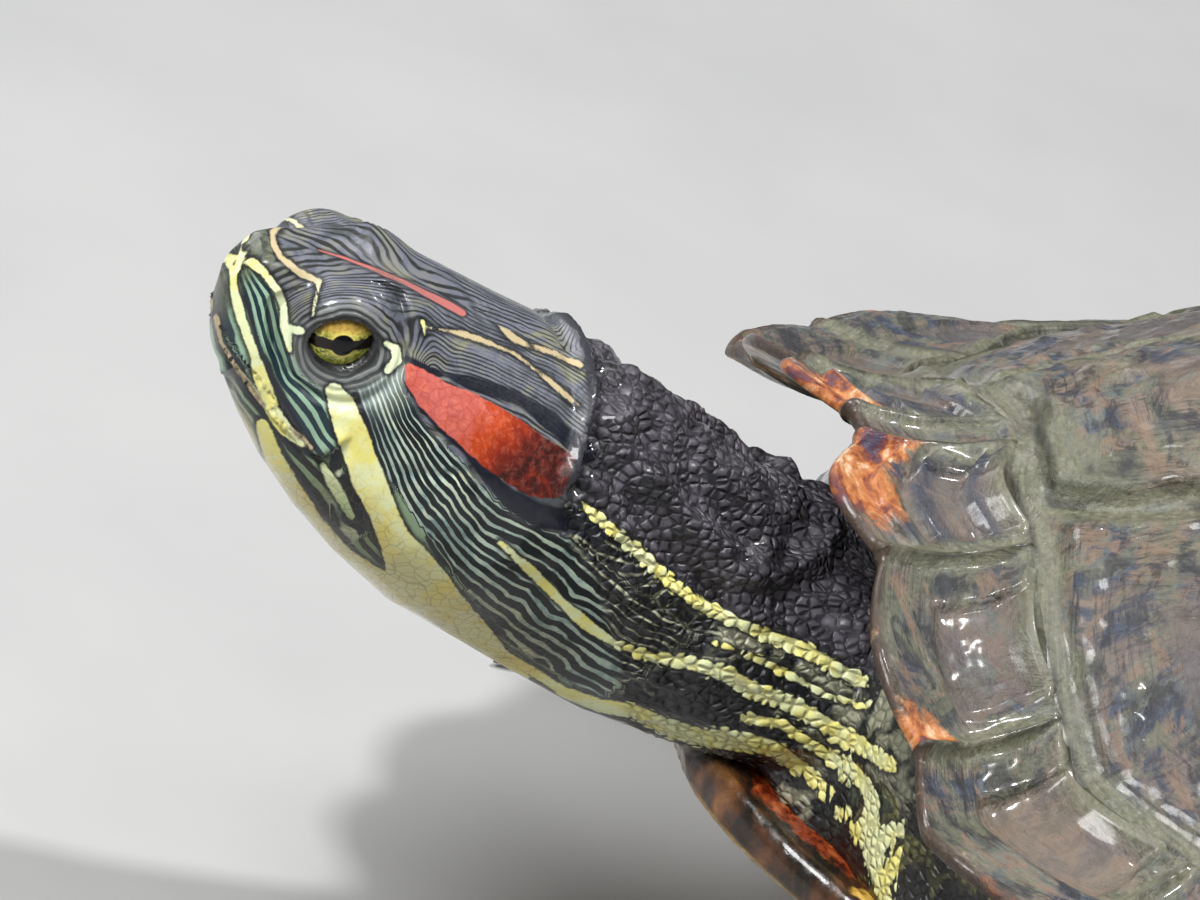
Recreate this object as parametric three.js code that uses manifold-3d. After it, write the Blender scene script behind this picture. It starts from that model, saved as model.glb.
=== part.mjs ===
// A red-eared slider turtle as a still, life-size display model.
// Millimetres, +Z up. The animal faces -Y, its left side is +X, and it stands on Z = 0.
// The body frame is the shell's own: level, with its origin under the middle of the plastron.
// It is pitched nose up into the standing frame, where the legs and feet are placed.

import * as THREE from "three";
import { LoftGeometry } from "three/addons/geometries/LoftGeometry.js";
import { mergeVertices } from "three/addons/utils/BufferGeometryUtils.js";
import Module from "manifold-3d";

const wasm = await Module();
wasm.setup();

// Driving dimensions.
const SHELL_HALF_LENGTH = 120;
const SHELL_HALF_WIDTH = 92;
const SHELL_SQUARENESS = { front: 3, rear: 2.25 }; // exponents of the plan outline, 2 for an ellipse
const SHELL_HEIGHT = 97;
const CROWN_Y = -6;
const NUCHAL_HALF_WIDTH = 3.6;
const FRONT_MARGINALS = [19.5, 26.5]; // rim lengths of the first two marginal plates
const MARGINALS = 12; // plates down each side of the rim
const SHELL_WALL = 4.4;
const RIM_EDGE = 3;
const BRIDGE_RIM_HEIGHT = 27;
const PLASTRON_THICKNESS = 5.5;
const GAP = 0.35; // clearance between neighbouring pieces
const PITCH = THREE.MathUtils.degToRad(11);
const PIVOT = { y: 108, sink: 0.8 }; // the plastron's tail end rests here, sunk to leave a flat
const HEAD_PITCH = THREE.MathUtils.degToRad(11.7); // above the shell's plane
const HEAD_YAW = THREE.MathUtils.degToRad(4.4); // towards the left
const HEAD_ROLL = THREE.MathUtils.degToRad(4.5); // left cheek down
const NOSTRIL = new THREE.Vector3(4.2, -198.6, 39.1); // body frame
const EYE_RADIUS = 5.2;

const lerp = THREE.MathUtils.lerp;
const clamp = THREE.MathUtils.clamp;
const smooth = (low, high, value) => THREE.MathUtils.smoothstep(value, low, high);

// Closed solids. ------------------------------------------------------------

// A manifold-3d solid from a closed three.js geometry.
function solidOf(geometry) {
  const bare = new THREE.BufferGeometry()
    .setAttribute("position", geometry.getAttribute("position"));
  bare.setIndex(geometry.index);
  const merged = mergeVertices(bare, 1e-3);
  const index = merged.index.array;
  const kept = [];
  for (let i = 0; i < index.length; i += 3) {
    const [a, b, c] = [index[i], index[i + 1], index[i + 2]];
    if (a !== b && b !== c && a !== c) kept.push(a, b, c);
  }
  return new wasm.Manifold(
    new wasm.Mesh({
      numProp: 3,
      vertProperties: merged.attributes.position.array,
      triVerts: new Uint32Array(kept),
    }),
  );
}

// A mesh from a solid, with its own name and finish.
function meshOf(name, solid, material) {
  const { numProp, numVert, vertProperties, triVerts } = solid.getMesh();
  const positions = new Float32Array(numVert * 3);
  for (let i = 0; i < numVert; i += 1) {
    positions.set(vertProperties.subarray(i * numProp, i * numProp + 3), i * 3);
  }
  const geometry = new THREE.BufferGeometry()
    .setAttribute("position", new THREE.BufferAttribute(positions, 3))
    .setIndex(new THREE.BufferAttribute(triVerts, 1));
  geometry.computeVertexNormals();
  const mesh = new THREE.Mesh(geometry, material);
  mesh.name = name;
  return mesh;
}

// A loft, capped unless its end rings close to a point. The rings are turned round first if they
// wind against the way it runs.
function loft(sections, capped = true) {
  const middle = (points) =>
    points.reduce((sum, p) => sum.add(p), new THREE.Vector3()).divideScalar(points.length);
  const winding = new THREE.Vector3();
  const [, second, third] = sections;
  second.forEach((p, i) => winding.add(new THREE.Vector3().crossVectors(p, second[(i + 1) % second.length])));
  const onward = middle(third).sub(middle(second));
  const ordered = winding.dot(onward) > 0 ? sections : sections.map((points) => [...points].reverse());
  return new LoftGeometry(ordered, { capStart: capped, capEnd: capped });
}

// A ring of points: a superellipse across `across` and `up`, with its own reach on each side.
function ring(centre, across, up, reach, sides, squareness = 2) {
  const power = 2 / squareness;
  return Array.from({ length: sides }, (_, i) => {
    const turn = (i / sides) * Math.PI * 2;
    const [c, s] = [Math.cos(turn), Math.sin(turn)];
    const wide = Math.sign(c) * Math.abs(c) ** power * reach.side;
    const high = Math.sign(s) * Math.abs(s) ** power * (s > 0 ? reach.top : reach.bottom);
    return centre.clone().addScaledVector(across, wide).addScaledVector(up, high);
  });
}

// A tapering limb through `points`; `radii` gives [half width, half thickness] and `flats` the way
// the thin side faces, at even places along it.
function limb(points, radii, flats, { sides = 12, steps = 9 } = {}) {
  const curve = new THREE.CatmullRomCurve3(points, false, "centripetal");
  const sections = [];
  for (let i = 0; i <= steps; i += 1) {
    const t = i / steps;
    const place = t * (radii.length - 1);
    const k = Math.min(Math.floor(place), radii.length - 2);
    const [wide, thick] = [0, 1].map((n) => lerp(radii[k][n], radii[k + 1][n], place - k));
    const flat = flats[Math.min(k, flats.length - 1)]
      .clone()
      .lerp(flats[Math.min(k + 1, flats.length - 1)], place - k);
    const tangent = curve.getTangent(t);
    const across = new THREE.Vector3().crossVectors(tangent, flat).normalize();
    const up = new THREE.Vector3().crossVectors(across, tangent).normalize();
    const reach = { side: wide, top: thick, bottom: thick };
    sections.push(ring(curve.getPoint(t), across, up, reach, sides));
  }
  return solidOf(loft(sections));
}

// The body frame pitched nose up into the standing frame.
const standing = new THREE.Matrix4()
  .makeTranslation(0, PIVOT.y, -PIVOT.sink)
  .multiply(new THREE.Matrix4().makeRotationX(-PITCH))
  .multiply(new THREE.Matrix4().makeTranslation(0, -PIVOT.y, 0));
const stood = (x, y, z) => new THREE.Vector3(x, y, z).applyMatrix4(standing);
const stand = (geometry) => geometry.applyMatrix4(standing);

// Shell. ---------------------------------------------------------------------

// The rim at an angle from the front midline, positive towards the left side. `scallop` runs from
// 0 at the seam between two marginal plates to 1 at the middle of a plate.
function rimPoint(angle, scallop = 0.5) {
  const [s, c] = [Math.sin(angle), Math.cos(angle)];
  const n = lerp(SHELL_SQUARENESS.rear, SHELL_SQUARENESS.front, smooth(-0.1, 0.8, c));
  const power = (Math.abs(s) / SHELL_HALF_WIDTH) ** n + (Math.abs(c) / SHELL_HALF_LENGTH) ** n;
  const radius = power ** (-1 / n);
  const y = -radius * c;
  const x = radius * s * (1 + (0.06 * y) / SHELL_HALF_LENGTH);
  const front = smooth(0.2, 0.9, c);
  const rear = smooth(0.2, 0.9, -c);
  const stand = (scallop - 0.4) * (1.2 + 2.6 * front + 2.4 * rear);
  const horn = 2.6 * Math.exp(-(((Math.abs(x) - 12) / 8) ** 2)) * front; // the first marginals
  const arch = (21 - 21 * Math.min(1, (Math.abs(x) / 53) ** 1.7)) * front;
  return new THREE.Vector3(
    x + s * stand,
    y - c * stand - horn,
    BRIDGE_RIM_HEIGHT + arch + 8 * rear,
  );
}

// Angles of the plate seams and plate middles round the rim, in turn from the nuchal plate.
function plateAngles() {
  const steps = 2000;
  const lengths = [0];
  for (let i = 1; i <= steps; i += 1) {
    const [p, q] = [rimPoint(((i - 1) / steps) * Math.PI), rimPoint((i / steps) * Math.PI)];
    lengths.push(lengths[i - 1] + p.distanceTo(q));
  }
  const angleAt = (length) => (lengths.findIndex((reached) => reached >= length) / steps) * Math.PI;
  const firsts = FRONT_MARGINALS.reduce((total, length) => total + length, NUCHAL_HALF_WIDTH);
  const rest = MARGINALS - FRONT_MARGINALS.length;
  const seams = [NUCHAL_HALF_WIDTH, NUCHAL_HALF_WIDTH + FRONT_MARGINALS[0]];
  for (let i = 0; i < rest; i += 1) seams.push(lerp(firsts, lengths[steps], i / rest));
  const middles = seams.map((seam, i) => (seam + (seams[i + 1] ?? lengths[steps])) / 2);
  const half = seams.flatMap((seam, i) => [
    { angle: angleAt(seam), scallop: 0 },
    { angle: angleAt(middles[i]), scallop: 1 },
  ]);
  const back = half.map(({ angle, scallop }) => ({ angle: Math.PI * 2 - angle, scallop })).reverse();
  return [{ angle: 0, scallop: 0 }, ...half, { angle: Math.PI, scallop: 0 }, ...back];
}
const PLATES = plateAngles();

// The rim beside the bridge, found by its place along the body.
function rimBeside(y) {
  let [low, high] = [0, Math.PI];
  for (let i = 0; i < 30; i += 1) {
    const middle = (low + high) / 2;
    if (rimPoint(middle).y < y) low = middle;
    else high = middle;
  }
  return rimPoint(low);
}

// A point of the dome: share 0 at the crown and 1 at the rim, sunk inwards by `inset`.
function domePoint(angle, share, inset = 0, scallop = 0.5) {
  const rim = rimPoint(angle, scallop);
  const toFront = Math.cos((Math.PI / 2) * share ** 1.45) ** 2;
  const toRear = (1 - share ** 2.2) ** 0.95;
  const toEnds = lerp(toRear, toFront, smooth(-0.4, 0.4, Math.cos(angle)));
  const toSides = (1 - share ** 2.6) ** 0.62;
  const rise = lerp(toEnds, toSides, Math.sin(angle) ** 2);
  const slump = 12 * Math.sin(2 * angle) ** 2 * smooth(0, 0.5, Math.cos(angle)); // front quarters sit low
  const bow = 4 * share ** 2 * (1 - share ** 2);
  const radius = Math.hypot(rim.x, rim.y - CROWN_Y);
  const pull = share * (1 - inset / radius);
  const lip = 1.5 * smooth(0.93, 1, share) * smooth(0.6, 0.95, Math.cos(angle));
  return new THREE.Vector3(
    rim.x * pull,
    CROWN_Y + (rim.y - CROWN_Y) * pull,
    rim.z + (SHELL_HEIGHT - rim.z) * rise + lip - slump * bow - inset * 0.9,
  );
}

const aroundPlates = (place) => PLATES.map(({ angle, scallop }) => place(angle, scallop));
const TRUNK_SIDES = 20;
const around = (place) =>
  Array.from({ length: TRUNK_SIDES }, (_, i) => place(((i + 0.4) / TRUNK_SIDES) * Math.PI * 2));

// `grow` thickens the shell all over, to cut clearance out of the flesh.
function carapace(grow = 0) {
  const outer = [0, 0.2, 0.38, 0.54, 0.68, 0.8, 0.9, 1];
  const inner = [1, 0.92, 0.82, 0.66, 0.4, 0];
  const sections = outer.map((share) =>
    aroundPlates((angle, scallop) => domePoint(angle, share, -grow, scallop)),
  );
  sections.push(
    ...inner.map((share) =>
      aroundPlates((angle, scallop) => {
        const depth = lerp(SHELL_WALL, RIM_EDGE, smooth(0.85, 1, share)) + grow;
        const point = domePoint(angle, share, share === 1 ? -grow : depth, scallop);
        if (share === 1) point.z -= depth - grow * 0.9;
        return point;
      }),
    ),
  );
  return solidOf(stand(loft(sections, false)));
}

// Half the plastron's width at a place along the body: two lobes joined by the bridges.
const BRIDGE = { front: -52, rear: 46, ramp: 6 };
function plastronHalfWidth(y) {
  const frontLobe = 47 * Math.sqrt(Math.max(0.02, 1 - Math.max(0, (-46 - y) / 71.5) ** 2.6));
  const rearLobe = 46 * Math.sqrt(Math.max(0.02, 1 - Math.max(0, (y - 40) / 75) ** 2.8));
  const lobe = y < 0 ? frontLobe : rearLobe;
  const bridge = Math.min(
    smooth(BRIDGE.front - BRIDGE.ramp, BRIDGE.front + BRIDGE.ramp, y),
    1 - smooth(BRIDGE.rear - BRIDGE.ramp, BRIDGE.rear + BRIDGE.ramp, y),
  );
  return lerp(lobe, rimBeside(y).x - 2.5, bridge);
}

// The bridges sweep up from the plastron's flat to just under the rim.
const BRIDGE_ROOT = 48;
const BRIDGE_TOP = BRIDGE_RIM_HEIGHT - RIM_EDGE - GAP - 0.4;
function bridgeRise(x, y) {
  const edge = rimBeside(clamp(y, BRIDGE.front, BRIDGE.rear)).x - 2.5;
  const lift = smooth(BRIDGE_ROOT, edge, Math.abs(x));
  return (BRIDGE_TOP - PLASTRON_THICKNESS + 1) * lift;
}

function plastron(grow = 0) {
  const stations = [-116, -112, -104, -88, -68, -58, -52, -46, -20, 14, 40, 46, 52, 64, 84, 100, 110];
  const points = 9;
  const sections = stations.map((y, k) => {
    const width = plastronHalfWidth(y) + grow;
    const end = k === 0 ? -grow : k === stations.length - 1 ? grow : 0;
    const row = (sign) =>
      Array.from({ length: points }, (_, i) => {
        const t = -1 + (2 * i) / (points - 1);
        const x = width * t;
        const round = 1.4 * Math.abs(t) ** 8;
        const crown = 0.7 * (1 - t * t) * Math.cos(y / 90); // the inner face swells a little
        const top = PLASTRON_THICKNESS + crown - round * 0.6 + grow;
        return new THREE.Vector3(x, y + end, bridgeRise(x, y) + (sign > 0 ? top : round - grow));
      });
    return [...row(-1), ...row(1).reverse()];
  });
  return solidOf(stand(loft(sections)));
}

// Flesh. ---------------------------------------------------------------------

// The trunk fills the shell as far as the pockets of the neck, legs and tail.
const POCKET_SHARE = 0.73;
function trunk() {
  const inset = SHELL_WALL + 9;
  const sections = [0, 0.3, 0.52, POCKET_SHARE].map((share) =>
    around((angle) => domePoint(angle, share, inset)),
  );
  const floorAt = (point) => bridgeRise(point.x, point.y) + PLASTRON_THICKNESS + GAP + 1;
  for (const [share, drop] of [[POCKET_SHARE + 0.01, 0.6], [0.58, 1], [0, 1]]) {
    sections.push(
      around((angle) => {
        const point = domePoint(angle, Math.min(share, POCKET_SHARE), inset);
        const shrink = share / POCKET_SHARE;
        const low = new THREE.Vector3(point.x * shrink, CROWN_Y + (point.y - CROWN_Y) * shrink, 0);
        low.z = lerp(point.z, floorAt(low), drop);
        return low;
      }),
    );
  }
  return solidOf(stand(loft(sections, false)));
}

// Head and neck in one: each station is [distance behind the nostrils, top, bottom, half width, squareness],
// with heights above the line that runs back from the nostrils.
const HEAD_STATIONS = [
  [-0.6, 1.2, -1.8, 1.6, 2],
  [0.6, 3.6, -3.4, 3.4, 2.2],
  [3, 5.2, -7.4, 5.6, 2.3],
  [5.6, 6.6, -10.2, 7.4, 2.4],
  [9, 8.4, -12.4, 9.2, 2.4],
  [13, 10.2, -14.8, 11.2, 2.4],
  [18, 11.2, -17.4, 13.4, 2.3],
  [25, 11.6, -20, 15.6, 2.3],
  [33, 12.2, -22.2, 17.2, 2.2],
  [42, 13.2, -23.8, 17.8, 2.2],
  [50, 13.8, -24, 17, 2.1],
  [60, 13, -24, 17, 2],
  [72, 12.6, -23.4, 17.4, 2],
  [81, 11.8, -21, 18.6, 2],
  [91, 11, -18, 20, 2],
  [106, 9, -16.6, 21, 2],
  [128, 7, -15, 21, 2],
];
const NECK_BEND = { from: 76, to: 104, turn: THREE.MathUtils.degToRad(14) };

// The line along the head and neck: a place on it with its upward and leftward directions.
function headLine(distance) {
  const place = NOSTRIL.clone();
  const step = 1;
  const back = new THREE.Vector3();
  const up = new THREE.Vector3();
  const left = new THREE.Vector3();
  const aim = (s) => {
    const bend = smooth(NECK_BEND.from, NECK_BEND.to, s);
    const pitch = HEAD_PITCH - NECK_BEND.turn * bend;
    const yaw = HEAD_YAW * (1 - bend);
    back.set(-Math.sin(yaw) * Math.cos(pitch), Math.cos(yaw) * Math.cos(pitch), -Math.sin(pitch));
    left.set(Math.cos(yaw), Math.sin(yaw), 0).applyAxisAngle(back, HEAD_ROLL * (1 - bend));
    up.crossVectors(left, back);
  };
  aim(0);
  for (let s = 0; s < Math.abs(distance); s += step) {
    const ds = Math.min(step, Math.abs(distance) - s) * Math.sign(distance);
    if (distance > 0) aim(s);
    place.addScaledVector(back, ds);
  }
  return { place, up, left, back };
}

const HEAD_SIDES = 22;
function headAndNeck() {
  const sections = HEAD_STATIONS.map(([s, top, bottom, side, squareness]) => {
    const { place, up, left } = headLine(s);
    const middle = lerp(bottom, top, 0.5);
    const centre = place.clone().addScaledVector(up, middle);
    const reach = { side, top: top - middle, bottom: middle - bottom };
    return ring(centre, left, up, reach, HEAD_SIDES, squareness);
  });
  return solidOf(stand(loft(sections)));
}

// A ball, cut or added; `place` is in the standing frame.
function ball(place, radius, detail = 12) {
  const sphere = new THREE.SphereGeometry(radius, detail, detail - 4);
  return solidOf(sphere.translate(place.x, place.y, place.z));
}

// A place on the head, in the standing frame: behind the nostrils, above their line, to the left.
function onHead(behind, above, aside) {
  const { place, up, left } = headLine(behind);
  return place.addScaledVector(up, above).addScaledVector(left, aside).applyMatrix4(standing);
}
const EYE_PLACE = { behind: 11.7, above: 2.8, left: 5.8 };
const LID = 0.8;
const eyeAt = (side) => onHead(EYE_PLACE.behind, EYE_PLACE.above, EYE_PLACE.left * side);

// The opening between the lids, wide along the head.
function lidOpening(side) {
  const opening = new THREE.CylinderGeometry(5.4, 4, 8, 12).rotateZ((-Math.PI / 2) * side);
  opening.scale(1, 1, 0.8).rotateX(-PITCH - HEAD_PITCH).rotateZ(HEAD_YAW);
  const place = onHead(EYE_PLACE.behind, EYE_PLACE.above, (EYE_PLACE.left + 5.4) * side);
  return solidOf(opening.translate(place.x, place.y, place.z));
}

// Legs, in the standing frame. `side` is 1 for left and -1 for right.
const UP = new THREE.Vector3(0, 0, 1);
const FOREFOOT = { toes: 5, spread: 27, reach: 24, web: 15, palm: 12.5 };
const HINDFOOT = { toes: 4, spread: 21, reach: 30, web: 20, palm: 13.5 };
const CLAW = { radius: 1.6, length: 6.5 };

// Toes fanned out of a web, from the middle of the palm. Gives the solid and where the claws grow.
function toes(palm, heading, { toes: count, spread, reach, web }) {
  let solid = null;
  const claws = [];
  for (let i = 0; i < count; i += 1) {
    const fan = THREE.MathUtils.degToRad(lerp(-spread, spread, i / (count - 1)));
    const way = heading.clone().applyAxisAngle(UP, fan);
    const long = reach * (1 - 0.16 * Math.abs(Math.sin(fan * 2)));
    const root = palm.clone().addScaledVector(way, web * 0.55).setZ(2.6);
    const tip = palm.clone().addScaledVector(way, long).setZ(1.75);
    const knuckle = root.clone().lerp(tip, 0.5).setZ(2.7);
    const toe = limb([root, knuckle, tip], [[2.8, 2.6], [3, 3], [2, 1.9]], [UP], { sides: 6, steps: 2 });
    solid = solid ? solid.add(toe) : toe;
    claws.push({ tip, way });
  }
  return { solid, claws };
}

// A claw curving down from a toe's blunt tip.
function claw({ tip, way }) {
  const root = tip.clone().addScaledVector(way, GAP);
  const middle = tip.clone().addScaledVector(way, CLAW.length * 0.55).setZ(2.1);
  const end = tip.clone().addScaledVector(way, CLAW.length).setZ(0.6);
  const radii = [1, 0.72, 0.24].map((share) => [CLAW.radius * share, CLAW.radius * share]);
  return limb([root, middle, end], radii, [UP], { sides: 6, steps: 2 });
}

// A leg from its root in the shell to the edge of its web.
function leg(root, bend, end, heading, shape, radii, flat) {
  const palm = end.clone().addScaledVector(heading, shape.palm * 0.7).setZ(3.9);
  const edge = palm.clone().addScaledVector(heading, shape.web).setZ(2.1);
  const { solid, claws } = toes(palm, heading, shape);
  const flats = [flat, flat, flat.clone().lerp(UP, 0.5), UP, UP];
  const whole = limb([root, bend, end, palm, edge], radii, flats, { sides: 10, steps: 8 });
  return { solid: whole.add(solid), claws, joints: { root, bend, end, heading } };
}

function foreleg(side, reach) {
  const shoulder = stood(34 * side, -66, 27);
  const elbow = new THREE.Vector3(75.5 * side, -70.5 - reach * 0.5, 40 + reach * 0.2);
  const wrist = new THREE.Vector3(86 * side, -87 - reach, 13);
  const heading = new THREE.Vector3(0.34 * side, -1, 0).normalize();
  const radii = [[16, 14], [12.5, 11], [11, 8], [12.5, 4.4], [12.5, 2.5]];
  const flat = new THREE.Vector3(side * 0.2, 0.75, 0.6).normalize();
  return leg(shoulder, elbow, wrist, heading, FOREFOOT, radii, flat);
}

function hindleg(side, reach) {
  const hip = stood(30 * side, 62, 24);
  const knee = new THREE.Vector3(80 * side, 70, 18);
  const ankle = new THREE.Vector3(93 * side, 96 + reach, 10.5);
  const heading = new THREE.Vector3(0.55 * side, 1, 0).normalize();
  const radii = [[17, 13], [14, 10.5], [11, 8], [13, 4.4], [13, 2.5]];
  const flat = new THREE.Vector3(0, -0.15, 1).normalize();
  return leg(hip, knee, ankle, heading, HINDFOOT, radii, flat);
}

// Loose skin reaching from the neck across to the roots of the forelegs.
function collar() {
  const points = [stood(-49.7, -72, 23), stood(-30.2, -88, 23), stood(0.4, -96, 22), stood(30.4, -88, 23),
    stood(50.2, -72, 23)];
  return limb(points, [[14, 13], [15, 14], [16, 14], [15, 14], [14, 13]], [UP], { sides: 10, steps: 6 });
}

function tail() {
  const points = [stood(0, 62, 26), stood(0, 104, 23), new THREE.Vector3(4, 132, 13), new THREE.Vector3(12, 154, 7)];
  return limb(points, [[11, 10], [9, 8], [5.5, 5], [1.8, 1.8]], [UP], { sides: 10, steps: 6 });
}

// A thin round slab that parts one piece of flesh from the next.
function cut(place, normal, radius) {
  const slab = new THREE.CylinderGeometry(radius, radius, GAP, 12);
  slab.applyQuaternion(new THREE.Quaternion().setFromUnitVectors(new THREE.Vector3(0, 1, 0), normal));
  return solidOf(slab.translate(place.x, place.y, place.z));
}

const between = (a, b, share) => a.clone().lerp(b, share);
const along = (a, b) => b.clone().sub(a).normalize();

// Assembly. --------------------------------------------------------------------

const skin = (colour, roughness) => new THREE.MeshStandardMaterial({ color: colour, roughness, metalness: 0 });
const FINISH = {
  skin: skin(0x3b4238, 0.45),
  shell: skin(0x5c5a3c, 0.35),
  plastron: skin(0xc9a03c, 0.4),
  eye: skin(0x9aa032, 0.1),
  claw: skin(0x2a2018, 0.4),
};

const limbs = {
  foreleg_left: foreleg(1, 14),
  foreleg_right: foreleg(-1, -18),
  hindleg_left: hindleg(1, 7),
  hindleg_right: hindleg(-1, 0),
};

const floor = solidOf(new THREE.BoxGeometry(600, 800, 400).translate(0, 0, 200));
let flesh = trunk().add(headAndNeck()).add(collar()).add(tail());
for (const side of [1, -1]) flesh = flesh.add(ball(eyeAt(side), EYE_RADIUS + GAP + LID));
for (const { solid } of Object.values(limbs)) flesh = flesh.add(solid);
flesh = flesh.subtract(carapace(GAP)).subtract(plastron(GAP)).intersect(floor);
for (const side of [1, -1]) {
  flesh = flesh.subtract(ball(eyeAt(side), EYE_RADIUS + GAP)).subtract(lidOpening(side));
}

// Thin cuts, and a place inside each piece that they leave.
const seeds = { trunk: stood(0, 0, 40) };
const cutHead = (behind, radius) => {
  const normal = headLine(behind).back.transformDirection(standing);
  flesh = flesh.subtract(cut(onHead(behind, -8, 0), normal, radius));
};
cutHead(47, 32);
cutHead(68, 34);
cutHead(84, 28);
seeds.head = onHead(20, 4, 0);
seeds.neck_front = onHead(60, -8, 0);
seeds.neck_base = onHead(76, -6, 0);

// The mouth: a cut along the lips, then down behind the corners of the jaw.
const JAW = { from: -4, corner: 21, lip: -8.4, drop: 5 };
function jawCut() {
  const slab = (behindA, aboveA, behindB, aboveB) => {
    const [a, b] = [onHead(behindA, aboveA, 0), onHead(behindB, aboveB, 0)];
    const across = headLine(0).left.transformDirection(standing);
    const way = along(a, b);
    const normal = new THREE.Vector3().crossVectors(way, across);
    const box = new THREE.BoxGeometry(60, GAP, a.distanceTo(b));
    box.applyMatrix4(new THREE.Matrix4().makeBasis(across, normal, way));
    const middle = between(a, b, 0.5);
    return solidOf(box.translate(middle.x, middle.y, middle.z));
  };
  return slab(JAW.from, JAW.lip, JAW.corner + 0.1, JAW.lip - 1.6)
    .add(slab(JAW.corner, JAW.lip - 1.4, JAW.corner + JAW.drop, -40));
}
flesh = flesh.subtract(jawCut());
seeds.lower_jaw = onHead(12, -12, 0);

for (const [name, { joints }] of Object.entries(limbs)) {
  const { root, bend, end } = joints;
  const upper = between(root, bend, name.startsWith("fore") ? 0.66 : 0.74);
  const lower = between(bend, end, 0.1);
  const handCut = between(bend, end, 0.86);
  flesh = flesh
    .subtract(cut(upper, along(root, bend), 20))
    .subtract(cut(lower, along(root, end), 20))
    .subtract(cut(handCut, along(bend, end), 17));
  seeds[`${name}_upper`] = between(upper, lower, 0.5);
  seeds[`${name}_lower`] = between(lower, handCut, 0.5);
  seeds[`${name}_foot`] = end.clone().addScaledVector(joints.heading, 12).setZ(4);
}
flesh = flesh.subtract(cut(stood(0, 99, 23.5), along(stood(0, 78, 25), stood(0, 104, 23)), 17));
seeds.tail = new THREE.Vector3(3, 128, 14);

const model = new THREE.Group();
const turtle = new THREE.Group();
model.add(turtle);

const clawMeshes = [];
for (const [name, { claws }] of Object.entries(limbs)) {
  claws.forEach((spec, i) => {
    clawMeshes.push(meshOf(`${name}_claw_${i + 1}`, claw(spec).intersect(floor), FINISH.claw));
  });
}

// Each piece of flesh takes the name of the nearest seed.
const pieces = flesh.decompose().filter((piece) => piece.volume() > 5);
const centreOf = (piece) => {
  const { min, max } = piece.boundingBox();
  return new THREE.Vector3((min[0] + max[0]) / 2, (min[1] + max[1]) / 2, (min[2] + max[2]) / 2);
};
const named = new Map();
for (const piece of pieces) {
  const centre = centreOf(piece);
  const free = Object.keys(seeds).filter((name) => !named.has(name));
  free.sort((a, b) => seeds[a].distanceTo(centre) - seeds[b].distanceTo(centre));
  named.set(free[0], piece);
}
if (pieces.length !== Object.keys(seeds).length) {
  throw new Error(`the cuts left ${pieces.length} pieces for ${Object.keys(seeds).length} names`);
}
for (const [name, piece] of named) turtle.add(meshOf(name, piece, FINISH.skin));

turtle.add(meshOf("carapace", carapace(), FINISH.shell));
turtle.add(meshOf("plastron", plastron().intersect(floor), FINISH.plastron));
for (const [name, side] of [["eye_left", 1], ["eye_right", -1]]) {
  turtle.add(meshOf(name, ball(eyeAt(side), EYE_RADIUS), FINISH.eye));
}
turtle.add(...clawMeshes);

// The origin is under the middle of the whole animal, on the floor.
const box = new THREE.Box3().setFromObject(turtle);
turtle.position.set(-(box.min.x + box.max.x) / 2, -(box.min.y + box.max.y) / 2, -box.min.z);

export default model;
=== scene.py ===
# A red-eared slider turtle, life size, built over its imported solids.
# Lengths are millimetres until a mesh is placed; the animal faces -Y and its left side is +X.

import math

import bmesh
import bpy
import numpy as np
from mathutils import Matrix, Vector, noise
from mathutils.bvhtree import BVHTree


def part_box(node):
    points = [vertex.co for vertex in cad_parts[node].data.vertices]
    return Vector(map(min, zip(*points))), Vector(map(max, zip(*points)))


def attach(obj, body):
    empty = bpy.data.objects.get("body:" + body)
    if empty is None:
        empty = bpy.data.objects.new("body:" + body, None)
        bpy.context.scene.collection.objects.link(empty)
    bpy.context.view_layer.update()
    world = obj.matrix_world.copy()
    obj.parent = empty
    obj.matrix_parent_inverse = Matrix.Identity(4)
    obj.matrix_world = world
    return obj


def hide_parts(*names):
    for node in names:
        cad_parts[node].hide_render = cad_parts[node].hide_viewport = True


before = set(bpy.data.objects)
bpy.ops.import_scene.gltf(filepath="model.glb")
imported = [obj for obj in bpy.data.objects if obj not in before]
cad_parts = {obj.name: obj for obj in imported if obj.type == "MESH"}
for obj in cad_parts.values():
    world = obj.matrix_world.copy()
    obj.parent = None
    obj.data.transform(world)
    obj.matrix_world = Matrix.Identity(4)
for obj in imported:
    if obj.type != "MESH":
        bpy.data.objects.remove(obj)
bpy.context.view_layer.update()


# The view ------------------------------------------------------------------------------------
# A long lens looks down on the head from ahead of the left shoulder, rolled over towards the
# tail. Places on the picture are pixels of a frame 1200 wide and 900 high.

PICTURE = (1200, 900)
VIEW_FROM = Vector((0.83176, -0.33218, 0.44478)).normalized()
VIEW_ROLL = math.radians(21.136)
VIEW_DISTANCE = 1.2
VIEW_SCALE = 8600  # pixels to the metre at the target
VIEW_TARGET = Vector((-0.00382, -0.11668, 0.07709))
SENSOR = 36

level_right = (-VIEW_FROM).cross(Vector((0, 0, 1))).normalized()
level_up = level_right.cross(-VIEW_FROM)
view_right = level_right * math.cos(VIEW_ROLL) + level_up * math.sin(VIEW_ROLL)
view_up = level_up * math.cos(VIEW_ROLL) - level_right * math.sin(VIEW_ROLL)
view_eye = VIEW_TARGET + VIEW_FROM * VIEW_DISTANCE

camera_data = bpy.data.cameras.new("view")
camera_data.sensor_width = SENSOR
camera_data.lens = SENSOR * VIEW_DISTANCE * VIEW_SCALE / PICTURE[0]
camera_data.clip_end = 20
camera = bpy.data.objects.new("view", camera_data)
camera.matrix_world = Matrix.Translation(view_eye) @ Matrix((view_right, view_up, VIEW_FROM)).transposed().to_4x4()
bpy.context.scene.collection.objects.link(camera)
bpy.context.scene.camera = camera


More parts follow.
